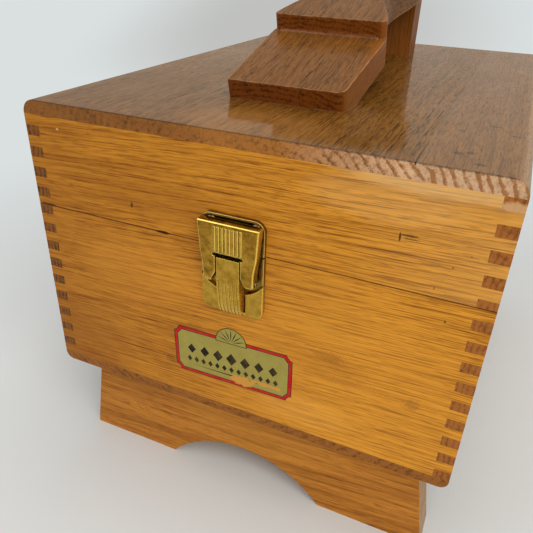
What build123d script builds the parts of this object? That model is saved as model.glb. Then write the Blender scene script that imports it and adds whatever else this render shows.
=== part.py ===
"""Wooden shoe shine box: finger-jointed oak box on feet, hinged lid with a sole-shaped footrest, draw latch.

Millimetres, +X to the right seen from the front, -Y towards the front (the latch side), +Z up.
The origin is on the ground, under the middle of the whole object.
"""
import os
from math import cos, radians, sin, tan

from build123d import *

os.makedirs("parts", exist_ok=True)

# ---- carcass ---------------------------------------------------------------------------------
BOX_WIDTH = 270.0
BOX_DEPTH = 369.0
WALL = 9.5
FINGER = 6.35
FINGER_COUNT = 27          # fingers on one corner before the lid was sawn off
LID_FINGERS = 9            # the ninth is cut short by the saw
SAW_KERF = FINGER / 4
SEAM_GAP = 0.3
TOP_THICK = 8.2
TOP_ROUND = 8.0
BOTTOM_THICK = 6.5
BOTTOM_ROUND = 5.5

# ---- feet ------------------------------------------------------------------------------------
FOOT_HEIGHT = 74.7
FOOT_THICK = 25.4
FOOT_RECESS = 15.5
FOOT_HALF_TOP = 116.6
FOOT_HALF_BOTTOM = 129.1
ARCH_HALF_SPAN = 57.7
ARCH_HEIGHT = 28.5

# ---- footrest: distances along and across its sloping board, from the point where it leaves the lid ----
REST_TILT = 15.5
REST_START = 86.1          # behind the front face
REST_THICK = 27.6
HEEL_FRONT = -22.0
HEEL_THICK_FRONT = 17.9
HEEL_THICK_BACK = 16.7
HEEL_STEP = 54.4
HEEL_HALF_FRONT = 35.4
HEEL_HALF_BACK = 38.2
HEEL_CORNER_RIGHT = 5.5
HEEL_CORNER_LEFT = 1.0
STEP_COVE = 3.0
STEP_CORNER = 4.5
SOLE_EDGE_ROUND = 1.6
SHANK_AT = 89.0
SHANK_HALF = 28.0
ARCH_AT = 155.0
ARCH_HALF = 31.2
WAIST_AT = 112.0
WAIST_HALF = 22.8
BALL_AT = 198.0
BALL_HALF = 37.0
TOE_SHOULDER_AT = 238.0
TOE_SHOULDER_HALF = 25.0
TOE_AT = 252.0
POST_FRONT = 286.0         # behind the front face
POST_THICK = 25.4
POST_HALF = 26.2
DOWEL_RADIUS = 4.0
DOWEL_X = 13.0
DOWEL_IN_POST = 18.0
DOWEL_IN_SOLE = 14.0

# ---- screws: head radius, shank radius, length ---------------------------------------------------
FOOT_SCREW = (4.2, 2.1, 45.0)
HEEL_SCREW = (3.6, 1.8, 17.0)
POST_SCREW = (4.2, 2.1, 32.0)
HINGE_SCREW = (2.0, 1.1, 10.0)
BASE_SCREW = (2.2, 1.0, 8.0)
CATCH_SCREW = (3.1, 1.0, 8.0)
DOME_HEIGHT = 0.55         # of a round head, as a share of its radius
SCREW_TIP = 3.0
FOOT_SCREW_X = 88.0
HEEL_SCREW_X = 19.0
HEEL_SCREW_BEHIND = 75.0   # behind the front face
POST_SCREW_X = 14.0
CATCH_SCREW_X = 13.6
CATCH_SCREW_HEIGHT = 15.9
BASE_SCREW_X = 12.4
BASE_SCREW_HEIGHT = -7.5
SHANK_CLEARANCE = 0.05

# ---- hinges ----------------------------------------------------------------------------------
HINGE_X = 85.0
HINGE_LENGTH = 38.0
HINGE_LEAF_THICK = 1.0
HINGE_LEAF_DEPTH = 8.5
HINGE_AXIS_OUT = 2.8       # behind the back face
KNUCKLE_RADIUS = 2.4
KNUCKLES = 5
KNUCKLE_GAP = 0.3
HINGE_PIN_RADIUS = 1.0
PIN_HEAD_RADIUS = 1.6
PIN_HEAD_THICK = 0.6
RUNNING_CLEARANCE = 0.05
HINGE_SCREW_X = 11.0

# ---- latch: "out" is the distance in front of the front face, heights are from the seam ---------------
SHEET = 0.8
LATCH_HALF = 18.8
CATCH_TOP = 20.3
CATCH_CORNER = 6.0
RIM_OUT = 2.6
RIM_WIDTH = 1.0
PLATE_EDGE = 0.6           # nearest edge of each plate to the seam
LIP_HEIGHT = 8.6
LIP_OUT = 4.6
LIP_WIDTH = 16.0
BASE_BOTTOM = -39.6
BASE_CORNER = 5.0
BASE_RIM_BOTTOM = -16.9
PIVOT_OUT = 4.8
PIVOT_HEIGHT = -15.5
PIVOT_RADIUS = 1.1
CHANNEL_HALF = 6.8
TONGUE_TOP = -2.6
TONGUE_BOTTOM = -17.0
TONGUE_OUT = 8.3
TONGUE_LINE = 0.5          # height and depth of the line pressed under the tongue
TONGUE_LINE_DEEP = 0.35
CHANNEL_BULGE = (7.2, -28.5)   # out and height of three points down the channel's curve
CHANNEL_HEEL = (5.4, -36.4)
CHANNEL_FOOT = (2.7, -40.2)
CHANNEL_GROOVES = 6
CHANNEL_GROOVE = 0.85      # width and depth of one groove
CHANNEL_GROOVE_DEEP = 0.45
FLAT_OUT = 2.8
FLAT_INNER = (8.2, -25.0)      # corners and bulge of a flat's upper edge, across and height
FLAT_BULGE = (15.0, -21.4)
FLAT_OUTER = -17.2
FLAT_FOOT = -37.6
FLAT_LIP = 0.7             # width and height of the lip along that edge
FLAT_LIP_PROUD = 0.5
FLAT_EDGE_ROUND = 0.5
LEVER_TOP = 17.9
LEVER_HALF_TOP = 18.2
LEVER_HALF_WAIST = 17.1
LEVER_WAIST = 2.5
LEVER_HALF_LEG = 15.3
LEVER_LEG = -8.0
LEVER_FACE_OUT = 8.4
LEVER_BACK_OUT = 3.0
LEVER_EDGE_ROUND = 1.1
LEG_END_ROUND = 2.2
FLUTE_PITCH = 2.2
LEVER_FLUTES = 8
LEVER_FLUTE_RADIUS = 0.95
LEVER_FLUTE_PROUD = 0.5
LEVER_FLUTE_RECESS = 0.3
LEVER_FLUTE_LENGTH = 14.6
LEVER_FLUTE_MIDDLE = 8.4
WINDOW_HALF = 7.7
WINDOW_TAPER = -12.0
WINDOW_FOOT_HALF = 10.2
WINDOW_FOOT = -16.5
SLOT_HALF = 9.2
SLOT_WIDE = 2.2
SLOT_HEIGHT = -0.9
CLAW_HALF = 6.5
CLAW_TOP = 2.5
CLAW_TIP_OUT = 2.2
CLAW_GAP = 0.4
SPRING_HALF = 4.5
SPRING_ENDS = (-33.2, -3.8)
SPRING_OUT = 0.9
SPRING_BOW = 3.3
SPRING_THICK = 0.45

# ---- heights and places that follow --------------------------------------------------------------
BODY_BOTTOM_Z = FOOT_HEIGHT + BOTTOM_THICK
BODY_TOP_Z = BODY_BOTTOM_Z + (FINGER_COUNT - LID_FINGERS) * FINGER
LID_BOTTOM_Z = BODY_TOP_Z + SEAM_GAP
LID_FRAME_Z = LID_BOTTOM_Z + LID_FINGERS * FINGER - SAW_KERF
LID_TOP_Z = LID_FRAME_Z + TOP_THICK
SEAM_Z = (BODY_TOP_Z + LID_BOTTOM_Z) / 2
HINGE_PROUD = HINGE_AXIS_OUT + KNUCKLE_RADIUS
LATCH_PROUD = LEVER_FACE_OUT + LEVER_FLUTE_PROUD
FRONT_Y = -(BOX_DEPTH + HINGE_PROUD - LATCH_PROUD) / 2
BACK_Y = FRONT_Y + BOX_DEPTH
HINGE_AXIS_Y = BACK_Y + HINGE_AXIS_OUT

LATCH_FRONT = Plane(origin=(0, FRONT_Y, SEAM_Z), x_dir=(1, 0, 0), z_dir=(0, -1, 0))
LATCH_SIDE = Plane(origin=(0, FRONT_Y, SEAM_Z), x_dir=(0, -1, 0), z_dir=(-1, 0, 0))


def save(piece, label):
    """Label a finished piece and write its file."""
    piece.label = label
    export_step(piece, f"parts/{label}.step")


# ---- fasteners -------------------------------------------------------------------------------
def flat_screw(head_radius, shank_radius, length):
    """Countersunk wood screw, head face at the origin, pointing down."""
    with BuildPart() as screw:
        with BuildSketch(Plane.XZ):
            with BuildLine():
                Polyline((0, 0), (head_radius, 0), (shank_radius, shank_radius - head_radius),
                         (shank_radius, SCREW_TIP - length), (0, -length), close=True)
            make_face()
        revolve(axis=Axis.Z)
        Box(2 * head_radius, head_radius / 5, head_radius / 3, mode=Mode.SUBTRACT)
    return screw.part


def round_screw(head_radius, shank_radius, length):
    """Round-headed screw, underside of the head at the origin, pointing down."""
    with BuildPart() as screw:
        with BuildSketch(Plane.XZ):
            with BuildLine():
                dome = DOME_HEIGHT * head_radius
                Line((0, -length), (0, dome))
                ThreePointArc((0, dome), (0.7 * head_radius, 0.72 * dome), (head_radius, 0))
                Polyline((head_radius, 0), (shank_radius, 0), (shank_radius, SCREW_TIP - length),
                         (0, -length))
            make_face()
        revolve(axis=Axis.Z)
    return screw.part


def screw_group(screw, places):
    """The same screw at several places, as one group of separate solids."""
    with BuildPart() as group:
        with Locations(*places):
            add(screw)
    return group.part


def drill_screw_holes(places, head_radius, shank_radius, length):
    """Countersunk hole for each flat screw, in the part being built."""
    with Locations(*places):
        CounterSinkHole(shank_radius + SHANK_CLEARANCE, head_radius + SHANK_CLEARANCE, length, 90)


def drill_pilot_holes(places, shank_radius, depth):
    """Plain hole for each screw shank, in the part being built."""
    with Locations(*places):
        Hole(shank_radius + SHANK_CLEARANCE, depth)


def turned(x, y, z, turn):
    """Place a screw or hole at a point, tipped about X by the given angle."""
    return Location((x, y, z), (turn, 0, 0))


foot_y = {"front_foot": FRONT_Y + FOOT_RECESS, "rear_foot": BACK_Y - FOOT_RECESS - FOOT_THICK}
foot_screw_x = (-FOOT_SCREW_X, 0.0, FOOT_SCREW_X)
foot_screw_places = [
    turned(x, y + FOOT_THICK / 2, BODY_BOTTOM_Z, 0) for y in foot_y.values() for x in foot_screw_x
]
heel_screw_places = [
    turned(x, FRONT_Y + HEEL_SCREW_BEHIND, LID_FRAME_Z, 180) for x in (-HEEL_SCREW_X, HEEL_SCREW_X)
]
post_screw_places = [
    turned(x, FRONT_Y + POST_FRONT + POST_THICK / 2, LID_FRAME_Z, 180) for x in (-POST_SCREW_X, POST_SCREW_X)
]
hinge_screw_xs = [side * HINGE_X + step for side in (-1, 1) for step in (-HINGE_SCREW_X, HINGE_SCREW_X)]
hinge_screw_y = BACK_Y - HINGE_LEAF_DEPTH / 2
body_hinge_screws = [turned(x, hinge_screw_y, BODY_TOP_Z, 0) for x in hinge_screw_xs]
lid_hinge_screws = [turned(x, hinge_screw_y, LID_BOTTOM_Z, 180) for x in hinge_screw_xs]


def latch_screw_places(half_spacing, height):
    """Screws of one latch plate, heads on the plate, pointing into the board."""
    return [turned(x, FRONT_Y - SHEET, SEAM_Z + height, 90) for x in (-half_spacing, half_spacing)]


catch_screw_places = latch_screw_places(CATCH_SCREW_X, CATCH_SCREW_HEIGHT)
base_screw_places = latch_screw_places(BASE_SCREW_X, BASE_SCREW_HEIGHT)


# ---- finger-jointed frames -------------------------------------------------------------------------
def outer_face(side):
    """Sketch plane on the outside of one wall, local X from left to right seen from outside, local Y up."""
    return {
        "front": Plane(origin=(0, FRONT_Y, 0), x_dir=(1, 0, 0), z_dir=(0, -1, 0)),
        "right": Plane(origin=(BOX_WIDTH / 2, (FRONT_Y + BACK_Y) / 2, 0), x_dir=(0, 1, 0), z_dir=(1, 0, 0)),
        "back": Plane(origin=(0, BACK_Y, 0), x_dir=(-1, 0, 0), z_dir=(0, 1, 0)),
        "left": Plane(origin=(-BOX_WIDTH / 2, (FRONT_Y + BACK_Y) / 2, 0), x_dir=(0, -1, 0), z_dir=(-1, 0, 0)),
    }[side]


def finger_board(side, first_finger, top_z, bottom_z):
    """One wall of a frame: even fingers stay at its left end and odd ones at its right end."""
    length = BOX_WIDTH if side in ("front", "back") else BOX_DEPTH
    finger_total = round((top_z - bottom_z) / FINGER + 0.4)
    with BuildPart() as board:
        with BuildSketch(outer_face(side)):
            with Locations((0, (top_z + bottom_z) / 2)):
                Rectangle(length, top_z - bottom_z)
            for step in range(finger_total):
                notch_top = top_z - step * FINGER
                notch_bottom = max(notch_top - FINGER, bottom_z)
                end = -1 if (first_finger + step) % 2 else 1
                with Locations((end * (length - WALL) / 2, (notch_top + notch_bottom) / 2)):
                    Rectangle(WALL, notch_top - notch_bottom, mode=Mode.SUBTRACT)
        extrude(amount=-WALL)
    return board.part


def cut_hinge_gains(gain_z):
    """Shallow pockets for the hinge leaves in the edge of a back board being built."""
    with Locations(*[(side * HINGE_X, BACK_Y - HINGE_LEAF_DEPTH / 2, gain_z) for side in (-1, 1)]):
        Box(HINGE_LENGTH, HINGE_LEAF_DEPTH, HINGE_LEAF_THICK, mode=Mode.SUBTRACT)


for side in ("left", "right"):
    save(finger_board(side, LID_FINGERS, BODY_TOP_Z, BODY_BOTTOM_Z), f"body_{side}_board")
    save(finger_board(side, 0, LID_FRAME_Z, LID_BOTTOM_Z), f"lid_{side}_board")

with BuildPart() as body_front_board:
    add(finger_board("front", LID_FINGERS, BODY_TOP_Z, BODY_BOTTOM_Z))
    drill_pilot_holes(base_screw_places, BASE_SCREW[1], BASE_SCREW[2])
save(body_front_board.part, "body_front_board")

with BuildPart() as lid_front_board:
    add(finger_board("front", 0, LID_FRAME_Z, LID_BOTTOM_Z))
    drill_pilot_holes(catch_screw_places, CATCH_SCREW[1], CATCH_SCREW[2])
save(lid_front_board.part, "lid_front_board")

with BuildPart() as body_back_board:
    add(finger_board("back", LID_FINGERS, BODY_TOP_Z, BODY_BOTTOM_Z))
    cut_hinge_gains(BODY_TOP_Z - HINGE_LEAF_THICK / 2)
    drill_pilot_holes(body_hinge_screws, HINGE_SCREW[1], HINGE_SCREW[2])
save(body_back_board.part, "body_back_board")

with BuildPart() as lid_back_board:
    add(finger_board("back", 0, LID_FRAME_Z, LID_BOTTOM_Z))
    cut_hinge_gains(LID_BOTTOM_Z + HINGE_LEAF_THICK / 2)
    drill_pilot_holes(lid_hinge_screws, HINGE_SCREW[1], HINGE_SCREW[2])
save(lid_back_board.part, "lid_back_board")

# ---- top and bottom boards -------------------------------------------------------------------------
with BuildPart() as top_board:
    with BuildSketch(outer_face("front")) as top_section:
        with Locations((0, LID_FRAME_Z + TOP_THICK / 2)):
            Rectangle(BOX_WIDTH, TOP_THICK)
        fillet(top_section.vertices().group_by(Axis.Y)[-1], TOP_ROUND)
    extrude(amount=-BOX_DEPTH)
    drill_screw_holes(heel_screw_places, *HEEL_SCREW)
    drill_screw_holes(post_screw_places, *POST_SCREW)
save(top_board.part, "top_board")

with BuildPart() as bottom_board:
    with BuildSketch(outer_face("front")) as bottom_section:
        with Locations((0, FOOT_HEIGHT + BOTTOM_THICK / 2)):
            Rectangle(BOX_WIDTH, BOTTOM_THICK)
        fillet(bottom_section.vertices().group_by(Axis.Y)[0], BOTTOM_ROUND)
    extrude(amount=-BOX_DEPTH)
    drill_screw_holes(foot_screw_places, *FOOT_SCREW)
save(bottom_board.part, "bottom_board")

# ---- feet ------------------------------------------------------------------------------------
for foot_name, front_y in foot_y.items():
    with BuildPart() as foot:
        with BuildSketch(Plane(origin=(0, front_y, 0), x_dir=(1, 0, 0), z_dir=(0, -1, 0))):
            with BuildLine():
                Polyline((-ARCH_HALF_SPAN, 0), (-FOOT_HALF_BOTTOM, 0), (-FOOT_HALF_TOP, FOOT_HEIGHT),
                         (FOOT_HALF_TOP, FOOT_HEIGHT), (FOOT_HALF_BOTTOM, 0), (ARCH_HALF_SPAN, 0))
                ThreePointArc((ARCH_HALF_SPAN, 0), (0, ARCH_HEIGHT), (-ARCH_HALF_SPAN, 0))
            make_face()
        extrude(amount=-FOOT_THICK)
        screws_here = [place for place in foot_screw_places if abs(place.position.Y - front_y) < FOOT_THICK]
        drill_screw_holes(screws_here, *FOOT_SCREW)
    save(foot.part, foot_name)

# ---- footrest --------------------------------------------------------------------------------------
rest_origin = (0, FRONT_Y + REST_START, LID_TOP_Z)
along = (0, cos(radians(REST_TILT)), sin(radians(REST_TILT)))
across = (0, -sin(radians(REST_TILT)), cos(radians(REST_TILT)))
REST_SIDE = Plane(origin=rest_origin, x_dir=along, z_dir=(1, 0, 0))
REST_PLAN = Plane(origin=rest_origin, x_dir=along, z_dir=across)


def underside_z(behind_front):
    """Height of the footrest's sloping underside at a distance behind the front face."""
    return LID_TOP_Z + (behind_front - REST_START) * tan(radians(REST_TILT))


post_middle = POST_FRONT + POST_THICK / 2
dowel_bottom = underside_z(post_middle) - DOWEL_IN_POST
dowel_top = underside_z(post_middle) + DOWEL_IN_SOLE
dowel_places = [(x, FRONT_Y + post_middle, (dowel_bottom + dowel_top) / 2) for x in (-DOWEL_X, DOWEL_X)]


def dowel_holes():
    """Holes for the two dowels, in the part being built."""
    with Locations(*dowel_places):
        Cylinder(DOWEL_RADIUS + SHANK_CLEARANCE, dowel_top - dowel_bottom, mode=Mode.SUBTRACT)


with BuildPart() as footrest:
    heel_on_lid = -HEEL_FRONT * tan(radians(REST_TILT))
    with BuildSketch(REST_SIDE) as side_outline:
        with BuildLine():
            Polyline((0, 0), (HEEL_FRONT, heel_on_lid), (HEEL_FRONT, HEEL_THICK_FRONT),
                     (HEEL_STEP, HEEL_THICK_BACK), (HEEL_STEP, REST_THICK), (TOE_AT, REST_THICK),
                     (TOE_AT, 0), close=True)
        make_face()
        fillet(side_outline.vertices().sort_by_distance((HEEL_STEP, HEEL_THICK_BACK))[0], STEP_COVE)
    extrude(amount=BALL_HALF + 5, both=True)
    with BuildSketch(REST_PLAN) as sole_outline:
        with BuildLine():
            Polyline((WAIST_AT, 0), (HEEL_FRONT, 0), (HEEL_FRONT, HEEL_HALF_FRONT),
                     (HEEL_STEP, HEEL_HALF_BACK))
            Spline((HEEL_STEP, HEEL_HALF_BACK), (SHANK_AT, SHANK_HALF), (WAIST_AT, WAIST_HALF),
                   (ARCH_AT, ARCH_HALF), (BALL_AT, BALL_HALF), (TOE_SHOULDER_AT, TOE_SHOULDER_HALF),
                   (TOE_AT, 0), tangents=((1, -0.16), (0, -1)))
            Line((TOE_AT, 0), (WAIST_AT, 0))
        make_face()
        mirror(about=Plane.XZ)
        for half, corner in ((HEEL_HALF_FRONT, HEEL_CORNER_LEFT), (-HEEL_HALF_FRONT, HEEL_CORNER_RIGHT)):
            fillet(sole_outline.vertices().sort_by_distance((HEEL_FRONT, half))[0], corner)
    extrude(amount=REST_THICK, mode=Mode.INTERSECT)
    top_face = footrest.faces().filter_by(lambda face: face.normal_at().dot(Vector(*across)) > 0.999)
    sole_top = top_face.sort_by(lambda face: face.center().Z)[-1]
    rim = sole_top.edges().filter_by(lambda edge: edge.length > 2 * HEEL_HALF_BACK + 1)
    fillet(rim, SOLE_EDGE_ROUND)
    with BuildSketch(REST_PLAN.offset(HEEL_THICK_BACK)):    # rounds the corners over the step
        for side in (1, -1):
            corner_middle = HEEL_HALF_BACK - 1.15 * STEP_CORNER
            with Locations((HEEL_STEP, side * (corner_middle + STEP_CORNER))):
                Rectangle(2 * STEP_CORNER, 2 * STEP_CORNER)
            with Locations((HEEL_STEP + STEP_CORNER, side * corner_middle)):
                Circle(STEP_CORNER, mode=Mode.SUBTRACT)
    extrude(amount=REST_THICK, mode=Mode.SUBTRACT)
    dowel_holes()
    drill_pilot_holes(heel_screw_places, HEEL_SCREW[1], HEEL_SCREW[2])
save(footrest.part, "footrest")

with BuildPart() as footrest_post:
    with BuildSketch(Plane.YZ):
        with BuildLine():
            Polyline((FRONT_Y + POST_FRONT, LID_TOP_Z), (FRONT_Y + POST_FRONT + POST_THICK, LID_TOP_Z),
                     (FRONT_Y + POST_FRONT + POST_THICK, underside_z(POST_FRONT + POST_THICK)),
                     (FRONT_Y + POST_FRONT, underside_z(POST_FRONT)), close=True)
        make_face()
    extrude(amount=POST_HALF, both=True)
    dowel_holes()
    drill_pilot_holes(post_screw_places, POST_SCREW[1], POST_SCREW[2])
save(footrest_post.part, "footrest_post")

with BuildPart() as post_dowels:
    with Locations(*dowel_places):
        Cylinder(DOWEL_RADIUS, dowel_top - dowel_bottom)
save(post_dowels.part, "post_dowels")

# ---- hinges ----------------------------------------------------------------------------------------
knuckle_pitch = HINGE_LENGTH / KNUCKLES


def hinge_leaf(hinge_x, owner):
    """One leaf let into a board edge, with its own knuckles round the pin."""
    body = owner == "body"
    edge_z = BODY_TOP_Z if body else LID_BOTTOM_Z
    leaf_z = edge_z - HINGE_LEAF_THICK / 2 if body else edge_z + HINGE_LEAF_THICK / 2
    own_knuckles = range(0, KNUCKLES, 2) if body else range(1, KNUCKLES, 2)
    knuckle_xs = [hinge_x + (index - (KNUCKLES - 1) / 2) * knuckle_pitch for index in own_knuckles]
    screws = body_hinge_screws if body else lid_hinge_screws
    with BuildPart() as leaf:
        with Locations((hinge_x, BACK_Y - HINGE_LEAF_DEPTH / 2, leaf_z)):
            Box(HINGE_LENGTH, HINGE_LEAF_DEPTH, HINGE_LEAF_THICK)
        with Locations(*[(x, BACK_Y + HINGE_AXIS_OUT / 2, leaf_z) for x in knuckle_xs]):
            Box(knuckle_pitch - KNUCKLE_GAP, HINGE_AXIS_OUT, HINGE_LEAF_THICK)
        with Locations(*[Location((x, HINGE_AXIS_Y, SEAM_Z), (0, 90, 0)) for x in knuckle_xs]):
            Cylinder(KNUCKLE_RADIUS, knuckle_pitch - KNUCKLE_GAP)
        with Locations(Location((hinge_x, HINGE_AXIS_Y, SEAM_Z), (0, 90, 0))):
            Cylinder(HINGE_PIN_RADIUS + RUNNING_CLEARANCE, HINGE_LENGTH, mode=Mode.SUBTRACT)
        here = [place for place in screws if abs(place.position.X - hinge_x) < HINGE_LENGTH / 2]
        drill_screw_holes(here, *HINGE_SCREW)
    return leaf.part


for side_name, side_sign in (("left", -1), ("right", 1)):
    for owner in ("body", "lid"):
        save(hinge_leaf(side_sign * HINGE_X, owner), f"{side_name}_hinge_{owner}_leaf")
    with BuildPart() as hinge_pin:
        with Locations(Location((side_sign * HINGE_X, HINGE_AXIS_Y, SEAM_Z), (0, 90, 0))):
            Cylinder(HINGE_PIN_RADIUS, HINGE_LENGTH + PIN_HEAD_THICK)
        head_out = HINGE_LENGTH / 2 + PIN_HEAD_THICK
        with Locations(*[Location((side_sign * HINGE_X + end * head_out, HINGE_AXIS_Y, SEAM_Z), (0, 90, 0))
                         for end in (-1, 1)]):
            Cylinder(PIN_HEAD_RADIUS, PIN_HEAD_THICK)
    save(hinge_pin.part, f"{side_name}_hinge_pin")

# ---- latch: catch on the lid ------------------------------------------------------------------------
with BuildPart() as catch_plate:
    with BuildSketch(LATCH_FRONT) as catch_outline:
        with Locations((0, (CATCH_TOP + PLATE_EDGE) / 2)):
            Rectangle(2 * LATCH_HALF, CATCH_TOP - PLATE_EDGE)
        fillet(catch_outline.vertices().group_by(Axis.Y)[-1], CATCH_CORNER)
    extrude(amount=RIM_OUT)
    with BuildSketch(LATCH_FRONT.offset(SHEET)) as catch_inside:
        with Locations((0, (CATCH_TOP - RIM_WIDTH) / 2)):
            Rectangle(2 * (LATCH_HALF - RIM_WIDTH), CATCH_TOP - RIM_WIDTH)
        fillet(catch_inside.vertices().group_by(Axis.Y)[-1], CATCH_CORNER - RIM_WIDTH)
    extrude(amount=RIM_OUT, mode=Mode.SUBTRACT)
    with BuildSketch(LATCH_FRONT.offset(SHEET)):
        with Locations((0, LIP_HEIGHT)):
            Rectangle(LIP_WIDTH, SHEET)
    extrude(amount=LIP_OUT - SHEET)
    drill_pilot_holes(catch_screw_places, CATCH_SCREW[1], CATCH_SCREW[2])
save(catch_plate.part, "catch_plate")

# ---- latch: base, housing, pin and spring on the body ---------------------------------------------------
with BuildPart() as latch_base_plate:
    with BuildSketch(LATCH_FRONT) as base_outline:
        with Locations((0, (BASE_BOTTOM - PLATE_EDGE) / 2)):
            Rectangle(2 * LATCH_HALF, -PLATE_EDGE - BASE_BOTTOM)
        fillet(base_outline.vertices().group_by(Axis.Y)[0], BASE_CORNER)
    extrude(amount=SHEET)
    with BuildSketch(LATCH_FRONT.offset(SHEET)):
        for side_sign in (-1, 1):
            with Locations((side_sign * (LATCH_HALF - RIM_WIDTH / 2), (BASE_RIM_BOTTOM - PLATE_EDGE) / 2)):
                Rectangle(RIM_WIDTH, -PLATE_EDGE - BASE_RIM_BOTTOM)
    extrude(amount=RIM_OUT - SHEET)
    drill_pilot_holes(base_screw_places, BASE_SCREW[1], BASE_SCREW[2])
save(latch_base_plate.part, "latch_base_plate")



def channel_curve(inset):
    """The channel's curve from the tongue down to its foot, moved in by an inset."""
    foot_out, foot_height = CHANNEL_FOOT
    points = [(TONGUE_OUT - inset, TONGUE_BOTTOM), (CHANNEL_BULGE[0] - inset, CHANNEL_BULGE[1]),
              (CHANNEL_HEEL[0] - inset, CHANNEL_HEEL[1]), (foot_out - inset / 2, foot_height + inset)]
    return Spline(*points, tangents=((0, -1), (-1, -0.6)))


def channel_section(inset):
    """Side profile of the housing's raised channel: flat tongue above, curved in to the plate below."""
    back = 0 if inset else SHEET
    with BuildLine() as section:
        curve = channel_curve(inset)
        Polyline(curve @ 1, (back, (curve @ 1).Y), (back, TONGUE_TOP - inset),
                 (TONGUE_OUT - inset, TONGUE_TOP - inset), curve @ 0)
    return section.edges()


def groove_section():
    """Side profile of one groove: the curve's outer skin, from just under the tongue to the foot."""
    with BuildLine() as section:
        outer = channel_curve(-SHEET)
        inner = channel_curve(CHANNEL_GROOVE_DEEP)
        Line(outer @ 0, inner @ 0)
        Line(outer @ 1, inner @ 1)
    return section.edges()


with BuildPart() as latch_housing:
    with BuildSketch(LATCH_FRONT.offset(SHEET)) as flats:
        with BuildLine():
            Polyline((0, BASE_BOTTOM), (0, FLAT_FOOT), (FLAT_INNER[0], FLAT_FOOT), FLAT_INNER)
            ThreePointArc(FLAT_INNER, FLAT_BULGE, (LATCH_HALF, FLAT_OUTER))
            Polyline((LATCH_HALF, FLAT_OUTER), (LATCH_HALF, BASE_BOTTOM), (0, BASE_BOTTOM))
        make_face()
        mirror(about=Plane.YZ)
        fillet(flats.vertices().group_by(Axis.Y)[0].group_by(Axis.X)[0], BASE_CORNER)
        fillet(flats.vertices().group_by(Axis.Y)[0].group_by(Axis.X)[-1], BASE_CORNER)
    extrude(amount=FLAT_OUT - SHEET)
    flat_front = latch_housing.faces().filter_by(Axis.Y).sort_by(Axis.Y)[0]
    fillet(flat_front.edges(), FLAT_EDGE_ROUND)
    with BuildSketch(LATCH_FRONT.offset(FLAT_OUT - FLAT_EDGE_ROUND)):
        with BuildLine():
            ThreePointArc(FLAT_INNER, FLAT_BULGE, (LATCH_HALF, FLAT_OUTER))
            Line((LATCH_HALF, FLAT_OUTER), (LATCH_HALF, FLAT_OUTER - FLAT_LIP))
            ThreePointArc((LATCH_HALF, FLAT_OUTER - FLAT_LIP), (FLAT_BULGE[0], FLAT_BULGE[1] - FLAT_LIP),
                          (FLAT_INNER[0], FLAT_INNER[1] - FLAT_LIP))
            Line((FLAT_INNER[0], FLAT_INNER[1] - FLAT_LIP), FLAT_INNER)
        make_face()
        mirror(about=Plane.YZ)
    extrude(amount=FLAT_EDGE_ROUND + FLAT_LIP_PROUD)
    with BuildSketch(LATCH_SIDE):
        make_face(channel_section(0))
    extrude(amount=CHANNEL_HALF, both=True)
    with BuildSketch(LATCH_SIDE):
        make_face(channel_section(SHEET))
    extrude(amount=CHANNEL_HALF - SHEET, both=True, mode=Mode.SUBTRACT)
    for index in range(CHANNEL_GROOVES):
        groove_x = (index - (CHANNEL_GROOVES - 1) / 2) * FLUTE_PITCH
        with BuildSketch(LATCH_SIDE.offset(-groove_x)):
            make_face(groove_section())
        extrude(amount=CHANNEL_GROOVE / 2, both=True, mode=Mode.SUBTRACT)
    with Locations((0, FRONT_Y - TONGUE_OUT, SEAM_Z + TONGUE_BOTTOM)):
        Box(2 * CHANNEL_HALF, 2 * TONGUE_LINE_DEEP, TONGUE_LINE, mode=Mode.SUBTRACT)
    with Locations(Location((0, FRONT_Y - PIVOT_OUT, SEAM_Z + PIVOT_HEIGHT), (0, 90, 0))):
        Cylinder(PIVOT_RADIUS + RUNNING_CLEARANCE, 2 * CHANNEL_HALF, mode=Mode.SUBTRACT)
save(latch_housing.part, "latch_housing")

with BuildPart() as latch_pivot_pin:
    with Locations(Location((0, FRONT_Y - PIVOT_OUT, SEAM_Z + PIVOT_HEIGHT), (0, 90, 0))):
        Cylinder(PIVOT_RADIUS, 2 * LEVER_HALF_LEG + 1.2)
save(latch_pivot_pin.part, "latch_pivot_pin")

with BuildPart() as latch_spring:
    spring_low, spring_high = SPRING_ENDS
    spring_middle = (spring_low + spring_high) / 2
    with BuildSketch(LATCH_SIDE):
        with BuildLine():
            ThreePointArc((SPRING_OUT, spring_low), (SPRING_BOW - SPRING_THICK, spring_middle),
                          (SPRING_OUT, spring_high))
            Line((SPRING_OUT, spring_high), (SPRING_OUT + SPRING_THICK, spring_high))
            ThreePointArc((SPRING_OUT + SPRING_THICK, spring_high), (SPRING_BOW, spring_middle),
                          (SPRING_OUT + SPRING_THICK, spring_low))
            Line((SPRING_OUT + SPRING_THICK, spring_low), (SPRING_OUT, spring_low))
        make_face()
    extrude(amount=SPRING_HALF, both=True)
save(latch_spring.part, "latch_spring")

# ---- latch: lever and its claw --------------------------------------------------------------------------


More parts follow.
